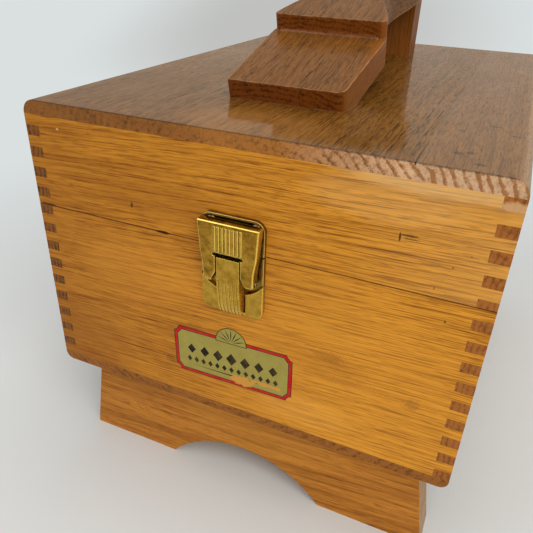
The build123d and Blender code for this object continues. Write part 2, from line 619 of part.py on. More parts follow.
def lever_side(inset):
    """Side profile of the lever: straight face, lower end rolled round the pivot."""
    face = LEVER_FACE_OUT - inset
    back = LEVER_BACK_OUT - 2 * inset
    roll = face - PIVOT_OUT
    drop = (roll ** 2 - (PIVOT_OUT - back) ** 2) ** 0.5 if roll > PIVOT_OUT - back else 0
    with BuildLine() as section:
        Polyline((back, PIVOT_HEIGHT - drop), (back, LEVER_TOP - inset), (face, LEVER_TOP - inset),
                 (face, PIVOT_HEIGHT))
        ThreePointArc((face, PIVOT_HEIGHT),
                      (PIVOT_OUT + roll * cos(radians(50)), PIVOT_HEIGHT - roll * sin(radians(50))),
                      (PIVOT_OUT, PIVOT_HEIGHT - roll))
        if drop:
            ThreePointArc((PIVOT_OUT, PIVOT_HEIGHT - roll),
                          (PIVOT_OUT - roll * sin(radians(10)), PIVOT_HEIGHT - roll * cos(radians(10))),
                          (back, PIVOT_HEIGHT - drop))
        else:
            Polyline((PIVOT_OUT, PIVOT_HEIGHT - roll), (back, PIVOT_HEIGHT - roll), (back, PIVOT_HEIGHT))
    return section.edges()


def lever_front(inset):
    """Front outline of the lever, without its window: wide above, narrowing to the two round-ended legs."""
    top = LEVER_TOP - inset
    leg = LEVER_HALF_LEG - inset
    foot = PIVOT_HEIGHT - (LEVER_FACE_OUT - PIVOT_OUT) + inset
    with BuildLine() as half:
        Polyline((0, foot), (0, top), (LEVER_HALF_TOP - inset, top), (LEVER_HALF_WAIST - inset, LEVER_WAIST))
        Spline((LEVER_HALF_WAIST - inset, LEVER_WAIST), (leg + 0.2, LEVER_LEG), (leg, foot + LEG_END_ROUND),
               tangents=((-0.05, -1), (0, -1)))
        RadiusArc((leg, foot + LEG_END_ROUND), (leg - LEG_END_ROUND, foot), -LEG_END_ROUND)
        Line((leg - LEG_END_ROUND, foot), (0, foot))
    return half.edges()


with BuildPart() as lever_hollow:
    with BuildSketch(LATCH_SIDE):
        make_face(lever_side(SHEET))
    extrude(amount=LATCH_HALF, both=True)
    with BuildSketch(LATCH_FRONT):
        make_face(lever_front(SHEET))
        mirror(about=Plane.YZ)
    extrude(amount=LEVER_FACE_OUT, mode=Mode.INTERSECT)

with BuildPart() as latch_lever:
    with BuildSketch(LATCH_SIDE):
        make_face(lever_side(0))
    extrude(amount=LATCH_HALF, both=True)
    with BuildSketch(LATCH_FRONT):
        make_face(lever_front(0))
        mirror(about=Plane.YZ)
    extrude(amount=LEVER_FACE_OUT, mode=Mode.INTERSECT)
    front_edges = latch_lever.faces().filter_by(Axis.Y).sort_by(Axis.Y)[0].edges()
    fillet(front_edges.filter_by(lambda edge: edge.center().Z > SEAM_Z + PIVOT_HEIGHT + 1), LEVER_EDGE_ROUND)
    with Locations((0, FRONT_Y - LEVER_FACE_OUT, SEAM_Z + LEVER_FLUTE_MIDDLE)):
        Box(LEVER_FLUTES * FLUTE_PITCH, 2 * LEVER_FLUTE_RECESS, LEVER_FLUTE_LENGTH, mode=Mode.SUBTRACT)
    flute_y = FRONT_Y - LEVER_FACE_OUT - LEVER_FLUTE_PROUD + LEVER_FLUTE_RADIUS
    flute_xs = [(index - (LEVER_FLUTES - 1) / 2) * FLUTE_PITCH for index in range(LEVER_FLUTES)]
    with Locations(*[(x, flute_y, SEAM_Z + LEVER_FLUTE_MIDDLE) for x in flute_xs]):
        Cylinder(LEVER_FLUTE_RADIUS, LEVER_FLUTE_LENGTH)
    add(lever_hollow.part, mode=Mode.SUBTRACT)
    window_end = WINDOW_FOOT - 2 * LEG_END_ROUND
    with BuildSketch(LATCH_FRONT.offset(LEVER_BACK_OUT)):
        with BuildLine():
            Polyline((0, window_end), (0, 0), (WINDOW_HALF, 0), (WINDOW_HALF, WINDOW_TAPER),
                     (WINDOW_FOOT_HALF, WINDOW_FOOT))
            TangentArc((WINDOW_FOOT_HALF, WINDOW_FOOT), (WINDOW_FOOT_HALF + LEG_END_ROUND, window_end),
                       tangent=(0, -1))
            Line((WINDOW_FOOT_HALF + LEG_END_ROUND, window_end), (0, window_end))
        make_face()
        mirror(about=Plane.YZ)
        with Locations((0, SLOT_HEIGHT)):
            SlotOverall(2 * SLOT_HALF, SLOT_WIDE)
    extrude(amount=LEVER_FACE_OUT, mode=Mode.SUBTRACT)
    with Locations(Location((0, FRONT_Y - PIVOT_OUT, SEAM_Z + PIVOT_HEIGHT), (0, 90, 0))):
        Cylinder(PIVOT_RADIUS + RUNNING_CLEARANCE, 2 * LATCH_HALF, mode=Mode.SUBTRACT)
save(latch_lever.part, "latch_lever")

with BuildPart() as latch_claw:
    claw_face = LEVER_FACE_OUT - SHEET
    claw_low = LIP_HEIGHT + SHEET / 2 + CLAW_GAP
    with BuildSketch(LATCH_SIDE):
        with BuildLine():
            Polyline((claw_face, CLAW_TOP), (claw_face, claw_low + SHEET), (CLAW_TIP_OUT, claw_low + SHEET),
                     (CLAW_TIP_OUT, claw_low), (claw_face - SHEET, claw_low), (claw_face - SHEET, CLAW_TOP),
                     close=True)
        make_face()
    extrude(amount=CLAW_HALF, both=True)
save(latch_claw.part, "latch_claw")

# ---- screws ------------------------------------------------------------------------------------------
save(screw_group(flat_screw(*FOOT_SCREW), foot_screw_places), "foot_screws")
save(screw_group(flat_screw(*HEEL_SCREW), heel_screw_places), "heel_screws")
save(screw_group(flat_screw(*POST_SCREW), post_screw_places), "post_screws")
save(screw_group(flat_screw(*HINGE_SCREW), body_hinge_screws), "hinge_body_screws")
save(screw_group(flat_screw(*HINGE_SCREW), lid_hinge_screws), "hinge_lid_screws")
save(screw_group(round_screw(*CATCH_SCREW), catch_screw_places), "catch_screws")
save(screw_group(round_screw(*BASE_SCREW), base_screw_places), "latch_base_screws")
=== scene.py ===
"""Studio scene for a wooden shoe shine box: an oak box on two feet, a hinged lid with a footrest, a draw latch.

Everything is in metres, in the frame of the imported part. Patterns are worked out in millimetres.
"""
import logging
import math
from dataclasses import dataclass, field
from enum import Enum
from functools import partial

import bmesh
import bpy
from mathutils import Euler, Matrix, Vector


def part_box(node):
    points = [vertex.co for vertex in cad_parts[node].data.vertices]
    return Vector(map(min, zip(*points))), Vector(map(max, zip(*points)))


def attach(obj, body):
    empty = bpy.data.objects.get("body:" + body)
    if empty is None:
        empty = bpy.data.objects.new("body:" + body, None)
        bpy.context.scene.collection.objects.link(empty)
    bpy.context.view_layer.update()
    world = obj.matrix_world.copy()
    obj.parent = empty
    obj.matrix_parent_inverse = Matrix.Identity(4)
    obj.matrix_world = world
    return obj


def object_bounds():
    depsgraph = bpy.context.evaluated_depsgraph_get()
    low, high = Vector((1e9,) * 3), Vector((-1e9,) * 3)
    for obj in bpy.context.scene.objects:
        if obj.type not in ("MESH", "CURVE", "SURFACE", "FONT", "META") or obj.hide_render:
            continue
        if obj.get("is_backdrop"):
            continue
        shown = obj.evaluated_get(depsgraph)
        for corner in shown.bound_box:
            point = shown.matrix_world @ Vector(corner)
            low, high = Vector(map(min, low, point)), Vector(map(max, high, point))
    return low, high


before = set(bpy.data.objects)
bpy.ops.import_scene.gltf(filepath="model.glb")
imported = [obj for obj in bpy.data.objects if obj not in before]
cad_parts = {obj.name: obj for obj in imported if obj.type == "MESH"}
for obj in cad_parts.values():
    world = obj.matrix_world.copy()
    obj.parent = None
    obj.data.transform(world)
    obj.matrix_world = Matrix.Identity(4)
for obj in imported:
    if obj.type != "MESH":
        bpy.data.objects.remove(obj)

MM = 0.001
PER_METRE = 1000.0
FRAME_SIDE = 533
FRONT_FACE = -182.7  # Y of the front boards' outer face, in millimetres
SKIN = 2.0  # how deep a small mark reaches, in millimetres
SOAK = 90.0  # how deep a soft change of tone reaches, in millimetres

Triple = tuple[float, float, float]
Socket = bpy.types.NodeSocket

log = logging.getLogger("shoe_shine_box")


# ---- colour and node helpers ------------------------------------------------------------------
def linear(hex_colour: str) -> tuple[float, float, float, float]:
    """Turns an sRGB hex colour to the linear colour that shaders use.

    Args:
        hex_colour: such as "#C8842F".

    Returns:
        Red, green, blue and an alpha of 1.
    """
    parts = [int(hex_colour[place:place + 2], 16) / 255 for place in (1, 3, 5)]
    return (*[part / 12.92 if part <= 0.04045 else ((part + 0.055) / 1.055) ** 2.4 for part in parts], 1.0)


def shown(sockets: bpy.types.bpy_prop_collection, key: str | int) -> Socket:
    """Finds a node's socket by number, or by name among those that its settings show.

    Args:
        sockets: the node's inputs or outputs.
        key: the number or name.

    Returns:
        The socket.
    """
    if isinstance(key, int):
        return sockets[key]
    return next(socket for socket in sockets if socket.enabled and socket.name == key)


def add_node(tree: bpy.types.NodeTree, kind: str, links: dict | None = None, **settings: object) -> Socket:
    """Adds one node with its settings and links.

    Args:
        tree: the material's node tree.
        kind: the node's type without its ShaderNode prefix.
        links: what each input gets, by name or number: a socket to link, or a value.
        **settings: the node's own attributes. "stops" fills a colour ramp with (place, colour) pairs, and
            "out" names the output to return.

    Returns:
        The node's first shown output, or the one that "out" names. A node without outputs returns its first input.
    """
    made = tree.nodes.new("ShaderNode" + kind)
    out = settings.pop("out", None)
    stops = settings.pop("stops", ())
    for name, value in settings.items():
        setattr(made, name, value)
    for index, (place, colour) in enumerate(stops):
        elements = made.color_ramp.elements
        element = elements[index] if index < 2 else elements.new(place)
        element.position, element.color = place, colour
    for key, value in (links or {}).items():
        socket = shown(made.inputs, key)
        if isinstance(value, Socket):
            tree.links.new(value, socket)
        else:
            socket.default_value = value
    if not made.outputs:
        return made.inputs[0]
    return shown(made.outputs, out) if out else next(socket for socket in made.outputs if socket.enabled)


def new_material(name: str) -> tuple[bpy.types.Material, bpy.types.NodeTree]:
    """Makes an empty node material.

    Args:
        name: what the finish is.

    Returns:
        The material and its node tree.
    """
    material = bpy.data.materials.new(name)
    material.use_nodes = True
    material.node_tree.nodes.clear()
    return material, material.node_tree


def close_material(tree: bpy.types.NodeTree, shader: Socket) -> None:
    """Sends a shader to the material's output."""
    add_node(tree, "OutputMaterial", {"Surface": shader})


def millimetres(node: partial, turn: Euler | None = None) -> Socket:
    """The piece's own place in millimetres, turned if asked.

    Args:
        node: the helper that adds a node.
        turn: how the pattern is turned on the piece.

    Returns:
        The place.
    """
    return node("Mapping", {"Vector": node("TexCoord", out="Object"), "Scale": (PER_METRE,) * 3,
                            "Rotation": turn or Euler()})


def facing(node: partial, axis: Vector | Triple) -> Socket:
    """How squarely the surface faces an axis of the piece, either way.

    Args:
        node: the helper that adds a node.
        axis: the direction on the piece, one unit long.

    Returns:
        1 where it faces the axis, 0 where it runs along it.
    """
    normal = node("TexCoord", out="Normal")
    along = node("VectorMath", {0: normal, 1: axis}, operation="DOT_PRODUCT", out="Value")
    return node("Math", {0: along}, operation="ABSOLUTE")


def turned_edge(node: partial, rounded: Socket) -> Socket:
    """How far a rounded normal agrees with the face's own: below 1 near a sharp edge.

    Args:
        node: the helper that adds a node.
        rounded: the Bevel node's normal.

    Returns:
        The agreement, as a cosine.
    """
    flat = node("NewGeometry", out="True Normal")
    return node("VectorMath", {0: rounded, 1: flat}, operation="DOT_PRODUCT", out="Value")


# ---- wood ---------------------------------------------------------------------------------------
class Grain(Enum):
    """How a board is turned so that its grain runs along the pattern's first axis, as Euler degrees."""

    ALONG_X = (0.0, 0.0, 0.0)
    ALONG_Y = (0.0, 0.0, -90.0)
    UPRIGHT = (0.0, 90.0, 0.0)
    FOOTREST = (-15.5, 0.0, -90.0)

    def turn(self) -> Euler:
        """The rotation, in radians."""
        return Euler([math.radians(angle) for angle in self.value], "XYZ")

    def axis(self) -> Vector:
        """The grain's direction on the piece."""
        return self.turn().to_matrix().inverted() @ Vector((1, 0, 0))

    def extent(self, node: str) -> tuple[Vector, Vector]:
        """The box of a CAD node in the turned pattern's millimetres.

        Args:
            node: the CAD node's name.

        Returns:
            Its lowest and highest corner.
        """
        corners = [self.turn().to_matrix() @ (corner * PER_METRE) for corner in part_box(node)]
        return Vector(map(min, *corners)), Vector(map(max, *corners))


@dataclass(frozen=True)
class Mark:
    """A ding, stain, crack or worn spot, or a soft change of tone: an ellipsoid in the turned pattern's millimetres.

    The edge is as ragged as it says. At 0 it is a soft one, as a change of tone has.
    """

    centre: Triple
    radii: Triple
    strength: float = 0.8
    ragged: float = 0.5
    tint: str = "#2E2016"


def front_mark(x: float, z: float, wide: float, tall: float, strength: float, ragged: float = Mark.ragged,
               tint: str = Mark.tint) -> Mark:
    """A small mark on the outer face of the front boards, by its middle and half sizes in millimetres."""
    return Mark((x, FRONT_FACE, z), (wide, SKIN, tall), strength, ragged, tint)


def front_tone(x: float, z: float, wide: float, tall: float, strength: float, tint: str) -> Mark:
    """A soft change of tone in the front boards, by its middle and half sizes in millimetres."""
    return Mark((x, FRONT_FACE, z), (wide, SOAK, tall), strength, 0.0, tint)


@dataclass(frozen=True)
class Fade:
    """A change of tone along one axis of the turned pattern: slow across a board, sharp at a glue line."""

    axis: str
    start: float
    end: float
    tint: str
    strength: float


@dataclass(frozen=True)
class Edge:
    """Sharp edges that hands have rubbed pale or soiled dark, in patches."""

    tint: str
    strength: float
    reach: float = 1.2
    patchy: float = 0.5


PORE_EDGE = 0.07  # how soft a pore's edge is, in the noise's own units
END_STARTS, END_FULL = 0.55, 0.85  # cosines between face and grain at which a sawn end begins and is full
END_DOTS = 0.45  # how dark the pores' dots are on a sawn end
HAND_SOIL = "#5E3A18"


@dataclass(frozen=True)
class VarnishedOak:
    """Red oak, planed and varnished, yellowed and soiled by use.

    A three-dimensional field of growth rings and pores, so a face along the grain shows streaks and short dark
    dashes, a sawn end shows ring arcs and dots, and both meet at the edge as in one piece of wood.
    """

    name: str
    grain: Grain
    light: str = "#E0982D"
    dark: str = "#7E3D07"
    pore: str = "#6A2E0A"
    end_light: str = "#9A6024"
    end_dark: str = "#633A12"
    bleached: str = "#D8A468"
    bleached_bar: str = "#A86A30"
    heart: tuple[float, float] = (-150.0, -420.0)
    ring: float = 3.6
    shift: float = 0.0
    slope: float = 0.0
    sway: float = 4.0
    streak: float = 0.55
    band: float = 0.3
    line: float = 0.5
    pores: float = 0.7
    pore_cut: float = 0.53
    pore_size: tuple[float, float] = (12.0, 0.75)
    bars: float = 0.6
    soil: float = 0.12
    rough: float = 0.42
    specular: float = 0.12
    coat: float = 0.0
    gloss: float = 0.06
    edge: Edge | None = None
    fades: tuple[Fade, ...] = ()
    marks: tuple[Mark, ...] = ()
    bleached_end: tuple[float, float] | None = None

    def material(self) -> bpy.types.Material:
        """Builds the oak's node material.

        Returns:
            The material.
        """
        material, tree = new_material(self.name)
        node = partial(add_node, tree)
        straight = millimetres(node, self.grain.turn())
        along = self._warped(node, straight)
        rings, bars = self._rings(node, along)
        pores = self._pores(node, along, rings)
        colour = node("Mix", {"Factor": self._end_factor(node), "A": self._face_colour(node, along, rings, pores),
                              "B": self._end_colour(node, straight, bars, pores)}, data_type="RGBA")
        self._shade(node, tree, along, self._aged(node, straight, colour), pores)
        return material

    def _noise(self, node: partial, place: Socket, sizes: tuple[float, float],
               span: tuple[float, float, float, float], detail: float = 2.0) -> Socket:
        """Noise drawn out along the grain.

        Args:
            node: the helper that adds a node.
            place: the millimetres that it is drawn on.
            sizes: its length along the grain and its width across, in millimetres.
            span: the lowest and highest noise that count, and what they become.
            detail: how many finer layers it has.

        Returns:
            The noise, brought to the span.
        """
        long, wide = sizes
        drawn = node("Mapping", {"Vector": place, "Scale": (1 / long, 1 / wide, 1 / wide)})
        noise = node("TexNoise", {"Vector": drawn, "Scale": 1.0, "Detail": detail, "Roughness": 0.6})
        return node("MapRange", dict(zip(("Value", "From Min", "From Max", "To Min", "To Max"), (noise, *span))))

    def _warped(self, node: partial, straight: Socket) -> Socket:
        """Lets the grain sway: slow waves about 260 mm long, ripples about 90 mm long, and uneven ring widths.

        Args:
            node: the helper that adds a node.
            straight: the pattern's straight millimetres.

        Returns:
            The swayed millimetres.
        """
        moved = node("Mapping", {"Vector": straight, "Location": (self.shift, 0, 0),
                                 "Rotation": (0, math.radians(self.slope), 0)})
        for length, width, reach in ((260.0, 60.0, self.sway), (90.0, 12.0, 0.3 * self.sway), (400.0, 7.0, 1.6)):
            stretched = node("Mapping", {"Vector": moved, "Scale": (1 / length, 1 / width, 1 / width)})
            wave = node("TexNoise", {"Vector": stretched, "Scale": 1.0, "Detail": 1.5}, out="Color")
            moved = node("VectorMath", {0: wave, 1: (0, 2 * reach, 2 * reach), 2: moved}, operation="MULTIPLY_ADD")
        return moved

    def _rings(self, node: partial, along: Socket) -> tuple[Socket, Socket]:
        """Growth rings round the heart of the tree: a sharp dark start that fades outwards, stronger in patches.

        Args:
            node: the helper that adds a node.
            along: the swayed millimetres.

        Returns:
            The ring's darkness on a face, a thin broken line, and on a sawn end, an even bar. Both from 0 to 1.
        """
        centred = node("Mapping", {"Vector": along, "Location": (0, -self.heart[0], -self.heart[1])})
        saw = node("TexWave", {"Vector": centred, "Scale": math.tau / (20 * self.ring), "Distortion": 0.0},
                   wave_type="RINGS", rings_direction="X", wave_profile="SAW", out="Fac")
        line = node("ValToRGB", {"Fac": saw}, stops=(
            (0.0, linear("#5A5A5A")), (0.07, linear("#FFFFFF")), (0.18, linear("#B8B8B8")),
            (0.42, linear("#343434")), (1.0, linear("#0A0A0A"))))
        bar = node("ValToRGB", {"Fac": saw}, stops=(
            (0.0, linear("#808080")), (0.1, linear("#FFFFFF")), (0.3, linear("#FFFFFF")),
            (0.5, linear("#000000")), (0.94, linear("#000000"))))
        fade = self._noise(node, along, (90.0, 6.0), (0.38, 0.62, 0.1, 1.0))
        return node("Math", {0: line, 1: fade}, operation="MULTIPLY"), bar

    def _pores(self, node: partial, along: Socket, rings: Socket) -> Socket:
        """Open pores, 0.3 mm wide and a few millimetres long, drawn a little wider so that they show.

        Args:
            node: the helper that adds a node.
            along: the swayed millimetres.
            rings: the ring's darkness, since most pores lie at its start.

        Returns:
            The pores' darkness from 0 to 1.
        """
        dashes = self._noise(node, along, self.pore_size, (self.pore_cut, self.pore_cut + PORE_EDGE, 0.0, 1.0))
        share = node("MapRange", {"Value": rings, "To Min": 0.45, "To Max": 1.0})
        return node("Math", {0: dashes, 1: share}, operation="MULTIPLY")

    def _end_factor(self, node: partial) -> Socket:
        """Tells a board's sawn ends from its faces.

        Args:
            node: the helper that adds a node.

        Returns:
            1 where the surface cuts across the grain, 0 where it runs along it.
        """
        across = facing(node, self.grain.axis())
        return node("MapRange", {"Value": across, "From Min": END_STARTS, "From Max": END_FULL})

    def _face_colour(self, node: partial, along: Socket, rings: Socket,
                     pores: Socket) -> Socket:
        """Colour of a face along the grain: honey wood, browner bands and thin lines, dark pores.

        Args:
            node: the helper that adds a node.
            along: the swayed millimetres.
            rings: the ring's darkness.
            pores: the pores' darkness.

        Returns:
            The colour.
        """
        streak = self._noise(node, along, (40.0, 0.7), (0.3, 0.7, -0.2, 0.2))
        streak = node("Math", {0: rings, 1: self.streak, 2: streak}, operation="MULTIPLY_ADD")
        for sizes, span in (((120.0, 5.0), (0.42, 0.66, 0.0, self.band)), ((40.0, 0.85), (0.54, 0.62, 0.0, self.line))):
            streak = node("Math", {0: self._noise(node, along, sizes, span, 3.0), 1: streak}, operation="ADD",
                          use_clamp=True)
        colour = node("Mix", {"Factor": streak, "A": linear(self.light), "B": linear(self.dark)}, data_type="RGBA")
        deep = node("Math", {0: pores, 1: self.pores}, operation="MULTIPLY")
        return node("Mix", {"Factor": deep, "A": colour, "B": linear(self.pore)}, data_type="RGBA")

    def _end_colour(self, node: partial, straight: Socket, bars: Socket,
                    pores: Socket) -> Socket:
        """Colour of a sawn end: browner, as it drank more varnish and grime, with ring bars and dots.

        Args:
            node: the helper that adds a node.
            straight: the pattern's straight millimetres.
            bars: the ring's darkness.
            pores: the pores' darkness.

        Returns:
            The colour.
        """
        light: Socket | tuple = linear(self.end_light)
        dark: Socket | tuple = linear(self.end_dark)
        depth: Socket | float = self.bars
        if self.bleached_end:
            across = node("SeparateXYZ", {"Vector": straight}, out="Y")
            bleach = node("MapRange", {"Value": across, "From Min": self.bleached_end[0],
                                       "From Max": self.bleached_end[1]})
            light = node("Mix", {"Factor": bleach, "A": light, "B": linear(self.bleached)}, data_type="RGBA")
            dark = node("Mix", {"Factor": bleach, "A": dark, "B": linear(self.bleached_bar)}, data_type="RGBA")
            depth = node("MapRange", {"Value": bleach, "To Min": self.bars, "To Max": 1.0})
        speck = self._noise(node, straight, (1.8, 1.8), (0.35, 0.65, -0.45, 0.45), 3.0)
        blotch = self._noise(node, straight, (9.0, 9.0), (0.4, 0.65, -0.15, 0.3), 4.0)
        speck = node("Math", {0: speck, 1: blotch}, operation="ADD")
        bars = node("Math", {0: bars, 1: depth, 2: speck}, operation="MULTIPLY_ADD", use_clamp=True)
        colour = node("Mix", {"Factor": bars, "A": light, "B": dark}, data_type="RGBA")
        dots = node("Math", {0: pores, 1: END_DOTS}, operation="MULTIPLY")
        return node("Mix", {"Factor": dots, "A": colour, "B": linear(self.pore)}, data_type="RGBA")

    def _aged(self, node: partial, straight: Socket, colour: Socket) -> Socket:
        """Adds hand soil in soft patches, changes of tone, handled edges and the marks.

        Args:
            node: the helper that adds a node.
            straight: the pattern's straight millimetres.
            colour: the clean wood's colour.

        Returns:
            The aged colour.
        """
        patch = self._noise(node, straight, (55.0, 55.0), (0.42, 0.75, 0.0, self.soil), 4.0)
        colour = node("Mix", {"Factor": patch, "A": colour, "B": linear(HAND_SOIL)}, data_type="RGBA")
        for fade in self.fades:
            reach = node("SeparateXYZ", {"Vector": straight}, out=fade.axis)
            reach = node("MapRange", {"Value": reach, "From Min": fade.start, "From Max": fade.end,
                                      "To Max": fade.strength})
            colour = node("Mix", {"Factor": reach, "A": colour, "B": linear(fade.tint)}, data_type="RGBA")
        if self.edge:
            sharp = turned_edge(node, node("Bevel", {"Radius": self.edge.reach * MM}, samples=6))
            sharp = node("MapRange", {"Value": sharp, "From Min": 0.99, "From Max": 0.86,
                                      "To Max": self.edge.strength})
            rub = self._noise(node, straight, (9.0, 4.0), (0.5 - 0.3 * self.edge.patchy, 0.62, 0.0, 1.0), 4.0)
            worn = node("Math", {0: sharp, 1: rub}, operation="MULTIPLY")
            colour = node("Mix", {"Factor": worn, "A": colour, "B": linear(self.edge.tint)}, data_type="RGBA")
        for mark in self.marks:
            offset = node("VectorMath", {0: straight, 1: mark.centre}, operation="SUBTRACT")
            offset = node("VectorMath", {0: offset, 1: mark.radii}, operation="DIVIDE")
            reach = node("VectorMath", {0: offset}, operation="LENGTH", out="Value")
            grit = node("TexNoise", {"Vector": straight, "Scale": 1.0, "Detail": 2.0})
            reach = node("Math", {0: grit, 1: 2 * mark.ragged, 2: reach}, operation="MULTIPLY_ADD")
            inside = node("MapRange", {"Value": reach, "From Min": 1.0 + mark.ragged, "From Max": 0.6 + mark.ragged,
                                       "To Max": mark.strength})
            colour = node("Mix", {"Factor": inside, "A": colour, "B": linear(mark.tint)}, data_type="RGBA")
        return colour

    def _shade(self, node: partial, tree: bpy.types.NodeTree, along: Socket,
               colour: Socket, pores: Socket) -> None:
        """Ends the material: satin wood under a thin varnish, pressed in at the pores.

        Args:
            node: the helper that adds a node.
            tree: the material's node tree.
            along: the swayed millimetres.
            colour: the aged colour.
            pores: the pores' darkness.
        """
        rough = self._noise(node, along, (60.0, 30.0), (0.3, 0.7, self.rough - 0.07, self.rough + 0.13), 5.0)
        rough = node("Math", {0: pores, 1: 0.2, 2: rough}, operation="MULTIPLY_ADD", use_clamp=True)
        fibre = self._noise(node, along, (30.0, 1.1), (0.0, 1.0, 0.0, 1.0))
        height = node("Math", {0: pores, 1: -0.8, 2: fibre}, operation="MULTIPLY_ADD")
        bump = node("Bump", {"Height": height, "Strength": 0.3, "Distance": 0.1 * MM})
        shader = node("BsdfPrincipled", {
            "Base Color": colour, "Roughness": rough, "IOR": 1.5, "Specular IOR Level": self.specular, "Normal": bump,
            "Coat Weight": self.coat, "Coat Roughness": self.gloss, "Coat IOR": 1.5})
        close_material(tree, shader)


# ---- metals and print ------------------------------------------------------------------------------
@dataclass(frozen=True)
class RolledMetal:
    """Rolled sheet or drawn wire, polished once and dulled since.

    Soft mottled tarnish and rolling lines break up the reflections. Polished sharp edges and edges bent over towards
    the top get a painted highlight, deep corners get grime and painted shade, and side walls get a painted reflection
    of the warm wood beside them.
    """

    name: str
    bright: str
    tarnish: str
    # Grime and painted shade in corners and recesses.
    grime_and_shade: str
    # The colour of the painted highlight on polished sharp edges and on edges bent over towards the top.
    fold_polish_and_highlight: str = "#F4DA60"
    # The colour of the painted reflection of the wood on side walls.
    wood: str = "#E4A030"
    rough: float = 0.24
    mottle: float = 0.65
    edge: float = 0.6
    recess: float = 0.8
    rolled_highlight: float = 0.0
    painted_wood_reflection: float = 0.0
    dull: float = 0.55

    def material(self) -> bpy.types.Material:
        """Builds the metal's node material.

        Returns:
            The material.
        """
        material, tree = new_material(self.name)
        node = partial(add_node, tree)
        place = millimetres(node)
        clouds = node("TexNoise", {"Vector": place, "Scale": 1 / 6, "Detail": 5.0, "Roughness": 0.65})
        clouds = node("MapRange", {"Value": clouds, "From Min": 0.38, "From Max": 0.64, "To Max": self.mottle})
        colour = node("Mix", {"Factor": clouds, "A": linear(self.bright), "B": linear(self.tarnish)},
                      data_type="RGBA")
        rounded = node("Bevel", {"Radius": self.edge * MM}, samples=8)
        polish_and_highlight = self._polished_and_highlit_edges(node, rounded)
        # Painted highlight: polished sharp edges and edges bent over towards the top turn pale.
        colour = node("Mix", {"Factor": polish_and_highlight, "A": colour, "B": linear(self.fold_polish_and_highlight)}, data_type="RGBA")
        # Grime and painted shade: corners and recesses darken by ambient occlusion.
        corner = node("AmbientOcclusion", {"Distance": self.recess * MM}, samples=8, only_local=False, out="AO")
        corner = node("MapRange", {"Value": corner, "From Min": 0.72, "From Max": 0.3, "To Max": 0.92})
        colour = node("Mix", {"Factor": corner, "A": colour, "B": linear(self.grime_and_shade)}, data_type="RGBA")
        # Painted reflection: faces turned to either side take the warm wood's colour.
        walls = node("MapRange", {"Value": facing(node, (1, 0, 0)), "From Min": 0.75, "From Max": 0.95,
                                  "To Max": self.painted_wood_reflection})
        colour = node("Mix", {"Factor": walls, "A": colour, "B": linear(self.wood)}, data_type="RGBA")
        grains = node("TexNoise", {"Vector": place, "Scale": 1 / 1.6, "Detail": 4.0, "Roughness": 0.7})
        rough = node("MapRange", {"Value": grains, "From Min": 0.3, "From Max": 0.7,
                                  "To Min": self.rough - 0.06, "To Max": self.rough + 0.14})
        lines = node("Mapping", {"Vector": place, "Scale": (1 / 0.5, 1 / 0.5, 1 / 9)})
        lines = node("TexNoise", {"Vector": lines, "Scale": 1.0, "Detail": 2.0})
        dents = node("TexNoise", {"Vector": place, "Scale": 1 / 5, "Detail": 2.0})
        height = node("Math", {0: dents, 1: 6.0, 2: lines}, operation="MULTIPLY_ADD")
        bump = node("Bump", {"Height": height, "Strength": 0.16, "Distance": 0.05 * MM, "Normal": rounded})
        # Less metallic where the painted highlight and the painted reflection lie.
        plain = node("Math", {0: polish_and_highlight, 1: walls}, operation="MAXIMUM")
        metallic = node("MapRange", {"Value": plain, "To Min": 1.0, "To Max": self.dull})
        shader = node("BsdfPrincipled", {"Base Color": colour, "Metallic": metallic, "Roughness": rough,
                                         "Normal": bump})
        close_material(tree, shader)
        return material

    def _polished_and_highlit_edges(self, node: partial, rounded: Socket) -> Socket:
        """Finds where a highlight is painted: polished sharp edges, and edges bent over to the top that stand proud.

        Args:
            node: the helper that adds a node.
            rounded: the Bevel node's normal.

        Returns:
            1 where the highlight is painted, 0 elsewhere.
        """
        sharp = node("MapRange", {"Value": turned_edge(node, rounded), "From Min": 0.99, "From Max": 0.9,
                                  "To Max": 0.95})
        # Painted highlight on faces that lean between the front and the top, found by their normal.
        front = facing(node, (0, 1, 0))
        leaning = node("MapRange", {"Value": front, "From Min": 0.99, "From Max": 0.9, "To Max": self.rolled_highlight})
        shallow = node("MapRange", {"Value": front, "From Min": 0.2, "From Max": 0.6})
        rolled_highlight = node("Math", {0: leaning, 1: shallow}, operation="MULTIPLY")
        either = node("Math", {0: sharp, 1: rolled_highlight}, operation="MAXIMUM")
        proud = node("AmbientOcclusion", {"Distance": 0.5 * MM}, samples=8, only_local=False, out="AO")
        proud = node("MapRange", {"Value": proud, "From Min": 0.86, "From Max": 0.97})
        return node("Math", {0: either, 1: proud}, operation="MULTIPLY")


